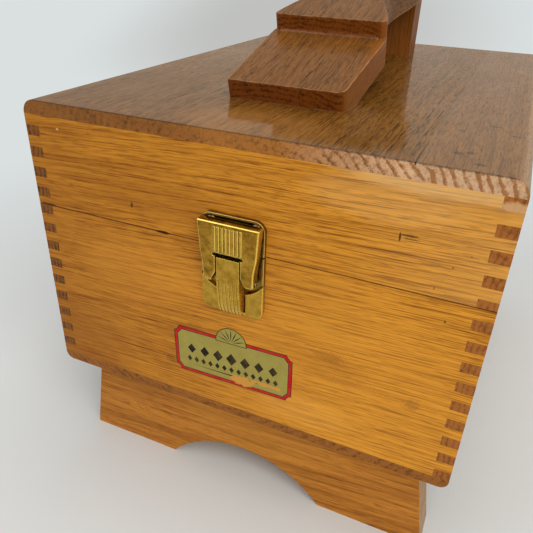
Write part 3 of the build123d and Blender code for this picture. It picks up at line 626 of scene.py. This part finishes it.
@dataclass(frozen=True)
class PrintedPaper:
    """Printed paper label under old varnish: flat ink, faintly foxed, torn open near its lower right corner."""

    name: str
    ink: str
    middle: Triple
    foxed: str = "#8A6A30"
    bared: str = "#D2943F"
    ragged: float = 2.4
    tears: tuple[tuple[float, float, float, float], ...] = ((8.0, -12.0, 9.0, 3.6), (24.0, -9.5, 13.0, 1.5))

    def material(self) -> bpy.types.Material:
        """Builds the paper's node material.

        Returns:
            The material.
        """
        material, tree = new_material(self.name)
        node = partial(add_node, tree)
        place = millimetres(node)
        foxing = node("TexNoise", {"Vector": place, "Scale": 1 / 6, "Detail": 6.0, "Roughness": 0.7})
        foxing = node("MapRange", {"Value": foxing, "From Min": 0.4, "From Max": 0.75, "To Max": 0.35})
        colour = node("Mix", {"Factor": foxing, "A": linear(self.ink), "B": linear(self.foxed)}, data_type="RGBA")
        ragged = node("TexNoise", {"Vector": place, "Scale": 1 / 3.4, "Detail": 3.0, "Roughness": 0.6})
        for right, up, long, tall in self.tears:
            centre = Vector(self.middle) + Vector((right, 0.0, up))
            offset = node("VectorMath", {0: place, 1: centre}, operation="SUBTRACT")
            offset = node("VectorMath", {0: offset, 1: (long, tall, tall)}, operation="DIVIDE")
            reach = node("VectorMath", {0: offset}, operation="LENGTH", out="Value")
            reach = node("Math", {0: ragged, 1: self.ragged, 2: reach}, operation="MULTIPLY_ADD")
            torn = node("MapRange", {"Value": reach, "From Min": 2.12, "From Max": 2.0})
            colour = node("Mix", {"Factor": torn, "A": colour, "B": linear(self.bared)}, data_type="RGBA")
        fibres = node("TexNoise", {"Vector": place, "Scale": 1 / 0.7, "Detail": 3.0})
        rough = node("MapRange", {"Value": fibres, "To Min": 0.3, "To Max": 0.6})
        bump = node("Bump", {"Height": fibres, "Strength": 0.2, "Distance": 0.05 * MM})
        shader = node("BsdfPrincipled", {"Base Color": colour, "Roughness": rough, "Specular IOR Level": 0.12,
                                         "Normal": bump})
        close_material(tree, shader)
        return material


# ---- making pieces -----------------------------------------------------------------------------------
def dress(nodes: tuple[str, ...], finish: VarnishedOak | RolledMetal) -> None:
    """Gives CAD nodes a finish in their own material slots.

    Args:
        nodes: the nodes' names.
        finish: what they are made of.
    """
    material = finish.material()
    for name in nodes:
        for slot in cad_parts[name].material_slots:
            slot.material = material
        log.info("%s: %s", name, finish.name)


def finish_piece(name: str, bm: bmesh.types.BMesh, materials: list[bpy.types.Material]) -> bpy.types.Object:
    """Turns a bmesh to an object whose place is in its mesh.

    Args:
        name: the piece's name.
        bm: its shape, in metres. It is freed.
        materials: one for each material number used on its faces.

    Returns:
        The object, linked to the scene.
    """
    mesh = bpy.data.meshes.new(name)
    bm.to_mesh(mesh)
    bm.free()
    for material in materials:
        mesh.materials.append(material)
    piece = bpy.data.objects.new(name, mesh)
    bpy.context.scene.collection.objects.link(piece)
    log.info("%s: %d faces", name, len(mesh.polygons))
    return piece


# ---- the box -----------------------------------------------------------------------------------------
@dataclass
class Carcass:
    """The finger-jointed walls of box and lid. Each side of the two was one board before the lid was sawn off."""

    front_heart: tuple[float, float] = (-110.0, -520.0)
    side_heart: tuple[float, float] = (-900.0, 120.0)
    side_ends: dict[str, tuple[str, str]] = field(default_factory=lambda: {
        "left": ("#885423", "#4C2D0E"), "right": ("#A9682E", "#824A1C")})
    walls: tuple[str, ...] = ("front", "back", "left", "right")
    board_shift: float = 740.0
    seam: Mark = field(default_factory=lambda: Mark(
        (0.0, 0.0, 0.5 * PER_METRE * (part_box("body_front_board")[1].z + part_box("lid_front_board")[0].z)),
        (500.0, 500.0, 0.5), 0.75, 0.3, "#4E1A10"))
    front_marks: tuple[Mark, ...] = (
        front_mark(85.9, 223.2, 0.7, 2.9, 0.85, 0.3),
        front_mark(90.6, 224.6, 5.0, 0.8, 0.75, 0.4),
        front_mark(-65.2, 208.4, 1.1, 1.9, 0.9),
        front_mark(-65.8, 205.0, 0.6, 0.6, 0.5),
        front_mark(111.8, 213.3, 0.6, 0.6, 0.6),
        front_mark(113.7, 183.8, 0.8, 0.8, 0.75),
        front_mark(105.5, 200.5, 0.5, 0.9, 0.55),
        front_mark(118.6, 220.7, 0.5, 0.5, 0.5),
        front_mark(-90.4, 245.5, 0.6, 0.6, 0.5),
        front_mark(-112.1, 245.1, 1.0, 0.8, 0.6, 0.5, "#EBC48A"),
        front_mark(58.5, 143.0, 11.0, 4.0, 0.45, 0.9, "#7A3E12"),
        front_mark(106.5, 127.5, 4.5, 3.6, 0.45, 0.9, "#6E3C14"),
        front_mark(78.0, 128.0, 26.0, 3.0, 0.35, 0.9, "#9A5418"),
        front_mark(-45.0, 105.0, 4.2, 3.4, 0.4, 0.9, "#6E3C14"),
        front_mark(-45.0, 195.6, 5.5, 1.0, 0.95, 0.5, "#2A120A"),
        front_mark(-128.0, 196.2, 7.0, 0.9, 0.8, 0.6, "#3A140A"),
        front_mark(91.0, 223.0, 5.0, 0.5, 0.7, 0.5),
        front_tone(60.0, 120.0, 95.0, 85.0, 0.22, "#F6A83A"),
        front_tone(-60.0, 166.0, 55.0, 28.0, 0.25, "#F2A53A"),
        front_tone(-50.0, 214.0, 48.0, 13.0, 0.28, "#8A4C10"),
        front_tone(-37.0, 128.0, 28.0, 9.0, 0.25, "#7E4208"),
        front_tone(56.0, 134.0, 34.0, 10.0, 0.2, "#8A4C10"),
        front_tone(45.0, 97.0, 36.0, 12.0, 0.25, "#FFB850"),
        front_tone(-125.0, 92.0, 55.0, 42.0, 0.3, "#8A4C10"),
        # Pale patches at the top right of the lid front: a worn tone with a painted sheen.
        front_tone(76.0, 240.0, 44.0, 14.0, 0.14, "#F8CC8A"),
        front_tone(104.0, 253.0, 60.0, 9.0, 0.4, "#F8CC8A"),
    )
    bleached_finger: Mark = Mark((FRONT_FACE, -131.0, 246.6), (4.0, 8.0, 3.4), 0.7, 0.3, "#DCAE7C")

    def dress(self) -> None:
        """Gives every wall its oak."""
        for number, wall in enumerate(self.walls):
            end_wall = wall in ("front", "back")
            fades = (Fade("X", 80.0, -135.0, "#84460C", 0.42),) if wall == "front" else ()
            light, dark = self.side_ends.get(wall, ("#9A6024", "#633A12"))
            for owner in ("body", "lid"):
                extra = self.front_marks if wall == "front" else ()
                if (owner, wall) == ("lid", "right"):
                    extra = (self.bleached_finger,)
                if (owner, wall) == ("lid", "front"):
                    # The lid front grows paler towards the right: a painted sheen.
                    fades += (Fade("X", 60.0, 135.0, "#EABC7A", 0.2),)
                dress((f"{owner}_{wall}_board",), VarnishedOak(
                    name=f"varnished oak {owner} {wall}", grain=Grain.ALONG_X if end_wall else Grain.ALONG_Y,
                    heart=self.front_heart if end_wall else self.side_heart, ring=3.6 if end_wall else 3.0,
                    end_light=light, end_dark=dark, shift=self.board_shift * number, slope=2.0, fades=fades,
                    marks=(self.seam, *extra)))


@dataclass
class EndBoards:
    """The flat-sawn boards on top of the lid and under the box. The top's pattern has its first axis along Y."""

    crack_x: float = 87.2
    crack_length: float = 44.0
    side_wear_and_highlight_in: float = 2.4
    right_x: float = field(default_factory=lambda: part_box("top_board")[1].x * PER_METRE)
    front_y: float = field(default_factory=lambda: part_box("top_board")[0].y * PER_METRE)
    top_z: float = field(default_factory=lambda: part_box("top_board")[1].z * PER_METRE)
    knocks: tuple[tuple[float, float, Triple], ...] = (
        (102.1, -160.3, (2.8, 3.2, SKIN)), (107.1, -157.5, (3.0, 2.4, SKIN)), (112.9, -172.8, (2.0, 3.0, SKIN)),
        (114.4, -103.8, (1.8, 4.6, SKIN)), (125.4, -118.2, (1.6, 3.4, SKIN)), (99.0, -121.0, (1.6, 2.0, SKIN)))

    def _top_marks(self) -> tuple[Mark, ...]:
        """Works out the top's crack, knocks, dirty front edge, worn side with a painted highlight, wax line and changes
        of tone.

        Returns:
            The marks, in the order in which they lie over each other.
        """
        crack = Mark((self.front_y, -self.crack_x, self.top_z), (self.crack_length, 0.55, SKIN), 0.95, 0.25,
                     "#2E1C0E")
        knocks = tuple(Mark((y, -x, self.top_z), radii, 0.7, 0.5, "#33241A") for x, y, radii in self.knocks)
        grime = Mark((self.front_y, 0.0, self.top_z), (0.9, 500.0, 0.8), 0.6, 0.9, "#24130A")
        # A pale worn strip along the rounded right edge, with a painted highlight on the rounding.
        worn_side_and_highlight = Mark((0.0, self.side_wear_and_highlight_in - self.right_x, self.top_z), (500.0, 2.8, 3.5), 0.55, 0.9, "#AE8454")
        wax = Mark((-118.5, 0.0, self.top_z), (0.8, 35.0, SKIN), 0.6, 0.4, "#CDB894")
        warm = Mark((-163.0, 0.0, self.top_z), (30.0, 50.0, 20.0), 0.3, 0.0, "#AE7436")
        dull = Mark((-119.0, 99.0, self.top_z), (80.0, 55.0, 20.0), 0.2, 0.0, "#553616")
        soiled = Mark((self.front_y, 115.0, self.top_z - 4.0), (6.0, 110.0, 8.0), 0.42, 0.0, "#6A4012")
        return crack, *knocks, grime, worn_side_and_highlight, wax, warm, dull, soiled

    def dress(self) -> None:
        """Gives the top its handled brown look with a short crack, and the bottom a cleaner one."""
        dress(("top_board",), VarnishedOak(
            name="varnished oak top", grain=Grain.ALONG_Y, light="#885A22", dark="#54320C", pore="#1A0C03",
            end_light="#AC6A26", end_dark="#4C2C0C", heart=(-4.0, 208.0), ring=4.3, shift=3300.0, sway=3.0,
            streak=0.35, band=0.4, line=0.6, pores=1.0, pore_cut=0.5, pore_size=(9.0, 0.75), bars=0.22, soil=0.3,
            rough=0.4, specular=0.03, coat=0.5, gloss=0.09, bleached="#ECC096", bleached_bar="#B0703C",
            bleached_end=(-22.0, -100.0), fades=(Fade("Y", -87.0, -87.6, "#8C6A4C", 0.3),),
            marks=self._top_marks()))
        dress(("bottom_board",), VarnishedOak(
            name="varnished oak bottom", grain=Grain.ALONG_Y, light="#C98A38", dark="#8A5018",
            end_light="#9E6226", end_dark="#6A3E14", heart=(30.0, 180.0), ring=5.0, bars=0.4, shift=4100.0))


@dataclass
class Feet:
    """The two arched feet, sawn from a board with a bolder figure."""

    def dress(self) -> None:
        """Gives both feet their oak."""
        for number, name in enumerate(("front_foot", "rear_foot")):
            low_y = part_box(name)[0].y * PER_METRE
            dress((name,), VarnishedOak(
                name=f"varnished oak {name}", grain=Grain.ALONG_X, light="#CE862F", dark="#84490F",
                end_light="#B89064", end_dark="#8E6840", heart=(low_y + 60.0, -70.0), ring=7.5, bars=0.4,
                shift=5200.0 + 900.0 * number, slope=4.0, sway=14.0, streak=0.6, band=0.5, line=0.3, soil=0.15,
                # Painted light: the middle of each foot is lighter, lifting the shade under the box's overhang.
                marks=(Mark((10.0, low_y, 52.0), (70.0, 90.0, 40.0), 0.25, 0.0, "#EAA13E"),)))


@dataclass
class Footrest:
    """The tilted sole and its post."""

    heart_below: float = 95.0

    def dress(self) -> None:
        """Gives the sole and post their oak, browner than the box."""
        start = Grain.FOOTREST.turn().to_matrix() @ (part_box("footrest")[0] * PER_METRE)
        dress(("footrest",), VarnishedOak(
            name="varnished oak footrest", grain=Grain.FOOTREST, light="#825220", dark="#4E2C0A", pore="#241204",
            end_light="#844614", end_dark="#4A2404", heart=(14.0, start.z - self.heart_below), ring=3.4,
            shift=6400.0, sway=3.0, streak=0.35, band=0.4, line=0.6, pores=0.95, pore_cut=0.52,
            pore_size=(9.0, 0.8), bars=0.5, soil=0.12, rough=0.36, specular=0.06, coat=0.3, gloss=0.22,
            # The Fade is painted light: the sole's right side face is lighter, as if lit from the right.
            edge=Edge("#C2966A", 0.7, 1.5, 0.6), fades=(Fade("Y", -33.5, -35.2, "#9C5A1C", 0.5),)))
        dress(("footrest_post",), VarnishedOak(
            name="varnished oak post", grain=Grain.UPRIGHT, light="#925820", dark="#5C320C",
            heart=(60.0, 90.0), ring=5.0, shift=7100.0))


@dataclass
class Fittings:
    """Latch, hinges, screws and dowels. The dowels are beech, with the oak's pattern in paler tones."""

    # Each metal's third colour is grime and painted shade in its corners and recesses.
    sheet: RolledMetal = RolledMetal("lacquered sheet brass", "#C8A040", "#8C6814", "#8A5414", rough=0.2, edge=0.5,
                                     rolled_highlight=0.9, painted_wood_reflection=0.85)
    lever: RolledMetal = RolledMetal("handled sheet brass", "#C2963A", "#705010", "#2A1A08", rough=0.17, mottle=0.85,
                                     edge=0.9, rolled_highlight=0.75, painted_wood_reflection=0.6)
    # Near black in its recesses: painted shade inside the catch and behind the lever.
    recessed: RolledMetal = RolledMetal("grimy_and_shaded sheet brass", "#B08A3C", "#6A4C18", "#0C0703", "#F4DE7E", rough=0.3,
                                        recess=5.0)
    hinge: RolledMetal = RolledMetal("drawn brass hinge", "#B8963F", "#80652A", "#30220C", rough=0.3)
    brass_screw: RolledMetal = RolledMetal("browned brass screw", "#8C6A48", "#5C3E26", "#1A1008", rough=0.34)
    steel_screw: RolledMetal = RolledMetal("zinc-plated steel screw", "#A9AAA6", "#7B7B76", "#2B2A28", rough=0.32)
    spring: RolledMetal = RolledMetal("blued spring steel", "#6F7073", "#4A4744", "#1C1B1A", rough=0.28)
    dowel: VarnishedOak = VarnishedOak("beech dowel", Grain.UPRIGHT, light="#CBA06A", dark="#A97C48",
                                       end_light="#B98C55", end_dark="#97693A", rough=0.5)

    def dress(self) -> None:
        """Gives every fitting its metal."""
        dress(("latch_housing",), self.sheet)
        dress(("catch_plate", "latch_base_plate"), self.recessed)
        dress(("latch_lever", "latch_claw"), self.lever)
        dress(("latch_spring", "latch_pivot_pin"), self.spring)
        dress(("catch_screws", "latch_base_screws"), self.brass_screw)
        dress(tuple(f"{side}_hinge_{part}" for side in ("left", "right") for part in ("body_leaf", "lid_leaf", "pin")),
              self.hinge)
        dress(("hinge_body_screws", "hinge_lid_screws"), self.brass_screw)
        dress(("foot_screws", "heel_screws", "post_screws"), self.steel_screw)
        dress(("post_dowels",), self.dowel)


class Ink(Enum):
    """The label's inks, by material number and colour."""

    FIELD = (0, "#A4984A")
    RED = (1, "#C40A1C")
    BLACK = (2, "#1B1712")

    @property
    def number(self) -> int:
        """The ink's material number on the label."""
        return self.value[0]

    @property
    def colour(self) -> str:
        """The ink's sRGB hex colour."""
        return self.value[1]


@dataclass
class PaperLabel:
    """The paper label under the latch: a field with cut corners in a red border, a scallop crest and lozenges.

    Lengths are in millimetres, from the label's middle. A row is its pitch, its height and its largest lozenge.
    """

    centre_x: float = -1.6
    centre_z: float = 117.4
    width: float = 79.4
    height: float = 34.0
    corner: tuple[tuple[float, float], ...] = ((3.4, 0.0), (3.4, 1.0), (1.5, 3.4), (0.0, 3.8))
    tilt: float = 1.2
    keyline: float = 0.45
    border: float = 1.7
    thick: float = 0.1
    print_step: float = 0.02
    crest_radius: float = 10.4
    crest_sink: float = 2.6
    rib_angle: float = 24.0
    large_row: Triple = (9.2, 1.8, 9.0)
    large_shrink: float = 0.6
    small_row: Triple = (4.9, -6.2, 4.6)
    small_width: float = 3.3
    rule: Triple = (58.0, 0.9, -10.6)

    def build(self) -> bpy.types.Object:
        """Builds the label on the front board.

        Returns:
            The label, riding on the box.
        """
        bm = bmesh.new()
        self._plate(bm)
        self._crest(bm)
        self._rules(bm)
        face_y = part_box("body_front_board")[0].y
        stand = (Matrix.Translation((self.centre_x * MM, face_y, self.centre_z * MM))
                 @ Matrix.Rotation(math.radians(90), 4, "X") @ Matrix.Rotation(math.radians(self.tilt), 4, "Z"))
        bmesh.ops.transform(bm, matrix=stand, verts=bm.verts)
        middle = (self.centre_x, face_y * PER_METRE, self.centre_z)
        inks = [PrintedPaper(f"printed paper {ink.name.lower()}", ink.colour, middle).material() for ink in Ink]
        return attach(finish_piece("paper_label", bm, inks), "box")

    def _stamp(self, bm: bmesh.types.BMesh, corners: int, size: tuple[float, float], at: tuple[float, float],
               lift: float, ink: Ink, turn: float = 0.0) -> list[bmesh.types.BMFace]:
        """Adds a thin flat shape that lies on the label.

        Args:
            bm: the label.
            corners: 4 for a diamond, more for a disc.
            size: width and height, in millimetres.
            at: its middle from the label's middle, in millimetres.
            lift: its height over the board, in millimetres.
            ink: its colour.
            turn: how far it is turned, in degrees.

        Returns:
            The new faces.
        """
        shape = bmesh.ops.create_circle(bm, cap_ends=True, segments=corners, radius=0.5)
        place = (Matrix.Translation((at[0] * MM, at[1] * MM, lift * MM))
                 @ Matrix.Rotation(math.radians(turn), 4, "Z")
                 @ Matrix.Diagonal((size[0] * MM, size[1] * MM, MM, 1)))
        bmesh.ops.transform(bm, matrix=place, verts=shape["verts"])
        faces = list({face for vert in shape["verts"] for face in vert.link_faces})
        for face in faces:
            face.material_index = ink.number
        return faces

    def _plate(self, bm: bmesh.types.BMesh) -> None:
        """Adds the field with its keylines and border, as thin as paper.

        Args:
            bm: the label.
        """
        outline = [(right * (self.width / 2 - back), up * (self.height / 2 - down))
                   for right, up, steps in ((1, 1, self.corner), (1, -1, self.corner[::-1]),
                                            (-1, -1, self.corner), (-1, 1, self.corner[::-1]))
                   for back, down in steps]
        ring = bmesh.ops.create_circle(bm, cap_ends=True, segments=len(outline), radius=MM)
        clockwise = sorted(ring["verts"], key=lambda vert: -math.atan2(vert.co.y, vert.co.x))
        for vert, (right, up) in zip(clockwise, outline):
            vert.co = Vector((right, up, self.thick)) * MM
        bmesh.ops.recalc_face_normals(bm, faces=bm.faces)
        for thickness, ink in ((self.keyline, Ink.BLACK), (self.border, Ink.RED), (self.keyline, Ink.BLACK)):
            inner = max(bm.faces, key=lambda face: face.calc_area())
            band = bmesh.ops.inset_region(bm, faces=[inner], thickness=thickness * MM, use_even_offset=True,
                                           use_boundary=True)
            for face in band["faces"]:
                face.material_index = ink.number
        rim = [edge for edge in bm.edges if edge.is_boundary]
        skirt = bmesh.ops.extrude_edge_only(bm, edges=rim)
        bmesh.ops.translate(bm, vec=(0, 0, -self.thick * MM),
                            verts=[item for item in skirt["geom"] if isinstance(item, bmesh.types.BMVert)])

    def _crest(self, bm: bmesh.types.BMesh) -> None:
        """Adds the scallop over the middle of the top border: seven ribs fanning from its foot.

        Args:
            bm: the label.
        """
        foot = self.height / 2 - self.crest_sink
        for radius, lift, ink in ((self.crest_radius, self.print_step, Ink.BLACK),
                                  (self.crest_radius - 0.5, 2 * self.print_step, Ink.FIELD)):
            disc = self._stamp(bm, 48, (2 * radius, 2 * radius), (0, foot), self.thick + lift, ink)
            geom = disc + list({edge for face in disc for edge in face.edges}) + list(
                {vert for face in disc for vert in face.verts})
            drop = self.crest_radius - radius
            bmesh.ops.bisect_plane(bm, geom=geom, plane_co=(0, (foot - 1.0 + drop) * MM, 0), plane_no=(0, -1, 0),
                                   clear_outer=True)
        for step in range(-3, 4):
            angle = math.radians(self.rib_angle * step)
            reach = 0.52 * self.crest_radius
            middle = (reach * math.sin(angle), foot + reach * math.cos(angle))
            self._stamp(bm, 4, (0.75, 0.9 * self.crest_radius), middle, self.thick + 3 * self.print_step, Ink.BLACK,
                        -math.degrees(angle))

    def _rules(self, bm: bmesh.types.BMesh) -> None:
        """Adds the field's plain ornament: two rows of lozenges over a rule.

        Args:
            bm: the label.
        """
        lift = self.thick + self.print_step
        pitch, height, largest = self.large_row
        for step in range(-3, 4):
            size = largest - self.large_shrink * abs(step)
            self._stamp(bm, 4, (0.8 * size, size), (pitch * step, height), lift, Ink.BLACK)
        pitch, height, size = self.small_row
        for step in range(-6, 7):
            self._stamp(bm, 4, (self.small_width, size), (pitch * step, height), lift, Ink.BLACK)
        long, tall, height = self.rule
        self._stamp(bm, 4, (long, tall), (0, height), lift, Ink.BLACK)


# ---- studio ------------------------------------------------------------------------------------------
@dataclass(frozen=True)
class Lamp:
    """One square soft lamp that looks at the box. One for gloss alone shows in reflections and adds no other light."""

    name: str
    place: Triple
    size: float
    power: float
    tint: str
    gloss_only: bool = False
    target: Triple = (0, 0, 0.15)

    def hang(self) -> None:
        """Adds the lamp to the scene."""
        data = bpy.data.lights.new(self.name, "AREA")
        data.shape, data.size, data.energy, data.color = "SQUARE", self.size, self.power, linear(self.tint)[:3]
        lamp = bpy.data.objects.new(self.name, data)
        lamp.location = self.place
        lamp.rotation_euler = (Vector(self.target) - Vector(self.place)).to_track_quat("-Z", "Y").to_euler()
        lamp.visible_diffuse = not self.gloss_only
        bpy.context.scene.collection.objects.link(lamp)


@dataclass
class Studio:
    """Pale paper sweep, a large soft lamp high on the right, one overhead, weaker ones on the left, a soft room."""

    paper: str = "#D9DCDC"
    tooth: str = "#D6D9D8"
    far_paper: str = "#DAE0E0"
    near_paper: str = "#D6CCBE"
    shaded_paper: str = "#C0C1BF"
    reach: float = 6.0
    wall_y: float = 2.4
    wall_height: float = 3.0
    sweep_radius: float = 1.4
    lit_from: float = 0.3
    lit_to: float = 0.75
    shade_at: Triple = (-0.62, 1.55, 0.1)
    shade_from: float = 0.85
    shade_full: float = 0.25
    room: str = "#EBECEB"
    room_strength: float = 0.4
    lamps: tuple[Lamp, ...] = (
        Lamp("key", (1.05, -1.15, 1.4), 1.3, 22.5, "#FFFAF3"),
        Lamp("overhead", (0.2, 0.2, 2.1), 1.4, 15.0, "#FAFCFF"),
        Lamp("fill", (-1.6, -0.9, 1.5), 1.6, 11.0, "#F4F6FA"),
        Lamp("glint", (-0.95, -0.95, 1.65), 1.3, 11.0, "#FFFFFF", gloss_only=True))

    def build(self) -> None:
        """Builds the sweep, the lamps and the room's light."""
        self._sweep()
        for lamp in self.lamps:
            lamp.hang()
        world = bpy.data.worlds.new("soft room")
        world.use_nodes = True
        room = world.node_tree.nodes["Background"]
        room.inputs["Color"].default_value = linear(self.room)
        room.inputs["Strength"].default_value = self.room_strength
        bpy.context.scene.world = world

    def _sweep(self) -> None:
        """Builds the floor and wall as one sheet of paper with a rounded bend."""
        bm = bmesh.new()
        grid = bmesh.ops.create_grid(bm, x_segments=1, y_segments=1, size=0.5)
        bmesh.ops.transform(bm, matrix=Matrix.Translation((0, self.wall_y - self.reach / 2, 0))
                            @ Matrix.Diagonal((2 * self.reach, self.reach, 1, 1)), verts=grid["verts"])
        back = [edge for edge in bm.edges if all(vert.co.y > self.wall_y - MM for vert in edge.verts)]
        wall = bmesh.ops.extrude_edge_only(bm, edges=back)
        bmesh.ops.translate(bm, vec=(0, 0, self.wall_height),
                            verts=[item for item in wall["geom"] if isinstance(item, bmesh.types.BMVert)])
        bmesh.ops.bevel(bm, geom=back, offset=self.sweep_radius, offset_type="OFFSET", segments=24, profile=0.5,
                        affect="EDGES", material=-1)
        sweep = finish_piece("backdrop", bm, [self._paper()])
        for polygon in sweep.data.polygons:
            polygon.use_smooth = True
        sweep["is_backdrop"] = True

    def _paper(self) -> bpy.types.Material:
        """Builds the paper: the box's shadow close by, a pale tone farther off with a painted soft shadow behind the
        box.

        Returns:
            The material.
        """
        material, tree = new_material("matt backdrop paper")
        node = partial(add_node, tree)
        place = node("TexCoord", out="Object")
        tooth = node("TexNoise", {"Vector": place, "Scale": 3.0, "Detail": 2.0})
        colour = node("Mix", {"Factor": tooth, "A": linear(self.paper), "B": linear(self.tooth)}, data_type="RGBA")
        paper = node("BsdfPrincipled", {"Base Color": colour, "Roughness": 0.9})
        seen = node("LightPath", out="Is Camera Ray")
        rays = seen
        for kind in ("Is Glossy Ray", "Is Transmission Ray"):
            rays = node("Math", {0: rays, 1: node("LightPath", out=kind)}, operation="MAXIMUM")
        away = node("VectorMath", {0: place}, operation="LENGTH", out="Value")
        away = node("MapRange", {"Value": away, "From Min": self.lit_from, "From Max": self.lit_to},
                    interpolation_type="SMOOTHSTEP")
        share = node("Math", {0: away, 1: rays}, operation="MULTIPLY")
        offset = node("VectorMath", {0: place, 1: self.shade_at}, operation="DISTANCE", out="Value")
        shade = node("MapRange", {"Value": offset, "From Min": self.shade_from, "From Max": self.shade_full},
                     interpolation_type="SMOOTHSTEP")
        far = node("Mix", {"Factor": shade, "A": linear(self.far_paper), "B": linear(self.shaded_paper)},
                   data_type="RGBA")
        lit = node("Mix", {"Factor": seen, "A": linear(self.near_paper), "B": far}, data_type="RGBA")
        lit = node("Emission", {"Color": lit})
        close_material(tree, node("MixShader", {0: share, 1: paper, 2: lit}))
        return material


@dataclass
class CornerCamera:
    """The camera above the right front corner, for a square frame."""

    place: Triple = (0.1201, -0.42174, 0.33733)
    turn: Triple = (60.395, -1.863, 23.923)
    focal_pixels: float = 559.08
    sensor: float = 36.0

    def build(self) -> None:
        """Makes the camera and gives it to the scene."""
        data = bpy.data.cameras.new("camera")
        data.sensor_width = self.sensor
        data.lens = self.focal_pixels * self.sensor / FRAME_SIDE
        data.clip_start, data.clip_end = 0.01, 50.0
        camera = bpy.data.objects.new("camera", data)
        camera.location = self.place
        camera.rotation_euler = [math.radians(angle) for angle in self.turn]
        bpy.context.scene.collection.objects.link(camera)
        bpy.context.scene.camera = camera


def main(cad_box: tuple[Vector, Vector]) -> None:
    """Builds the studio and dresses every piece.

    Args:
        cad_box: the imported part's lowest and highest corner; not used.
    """
    logging.basicConfig(level=logging.INFO, format="%(name)s %(message)s")
    CornerCamera().build()
    Studio().build()
    for assembly in (Carcass(), EndBoards(), Feet(), Footrest(), Fittings()):
        assembly.dress()
    PaperLabel().build()
    bpy.context.scene.view_settings.view_transform = "Standard"


if __name__ == "__main__":
    main(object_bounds())
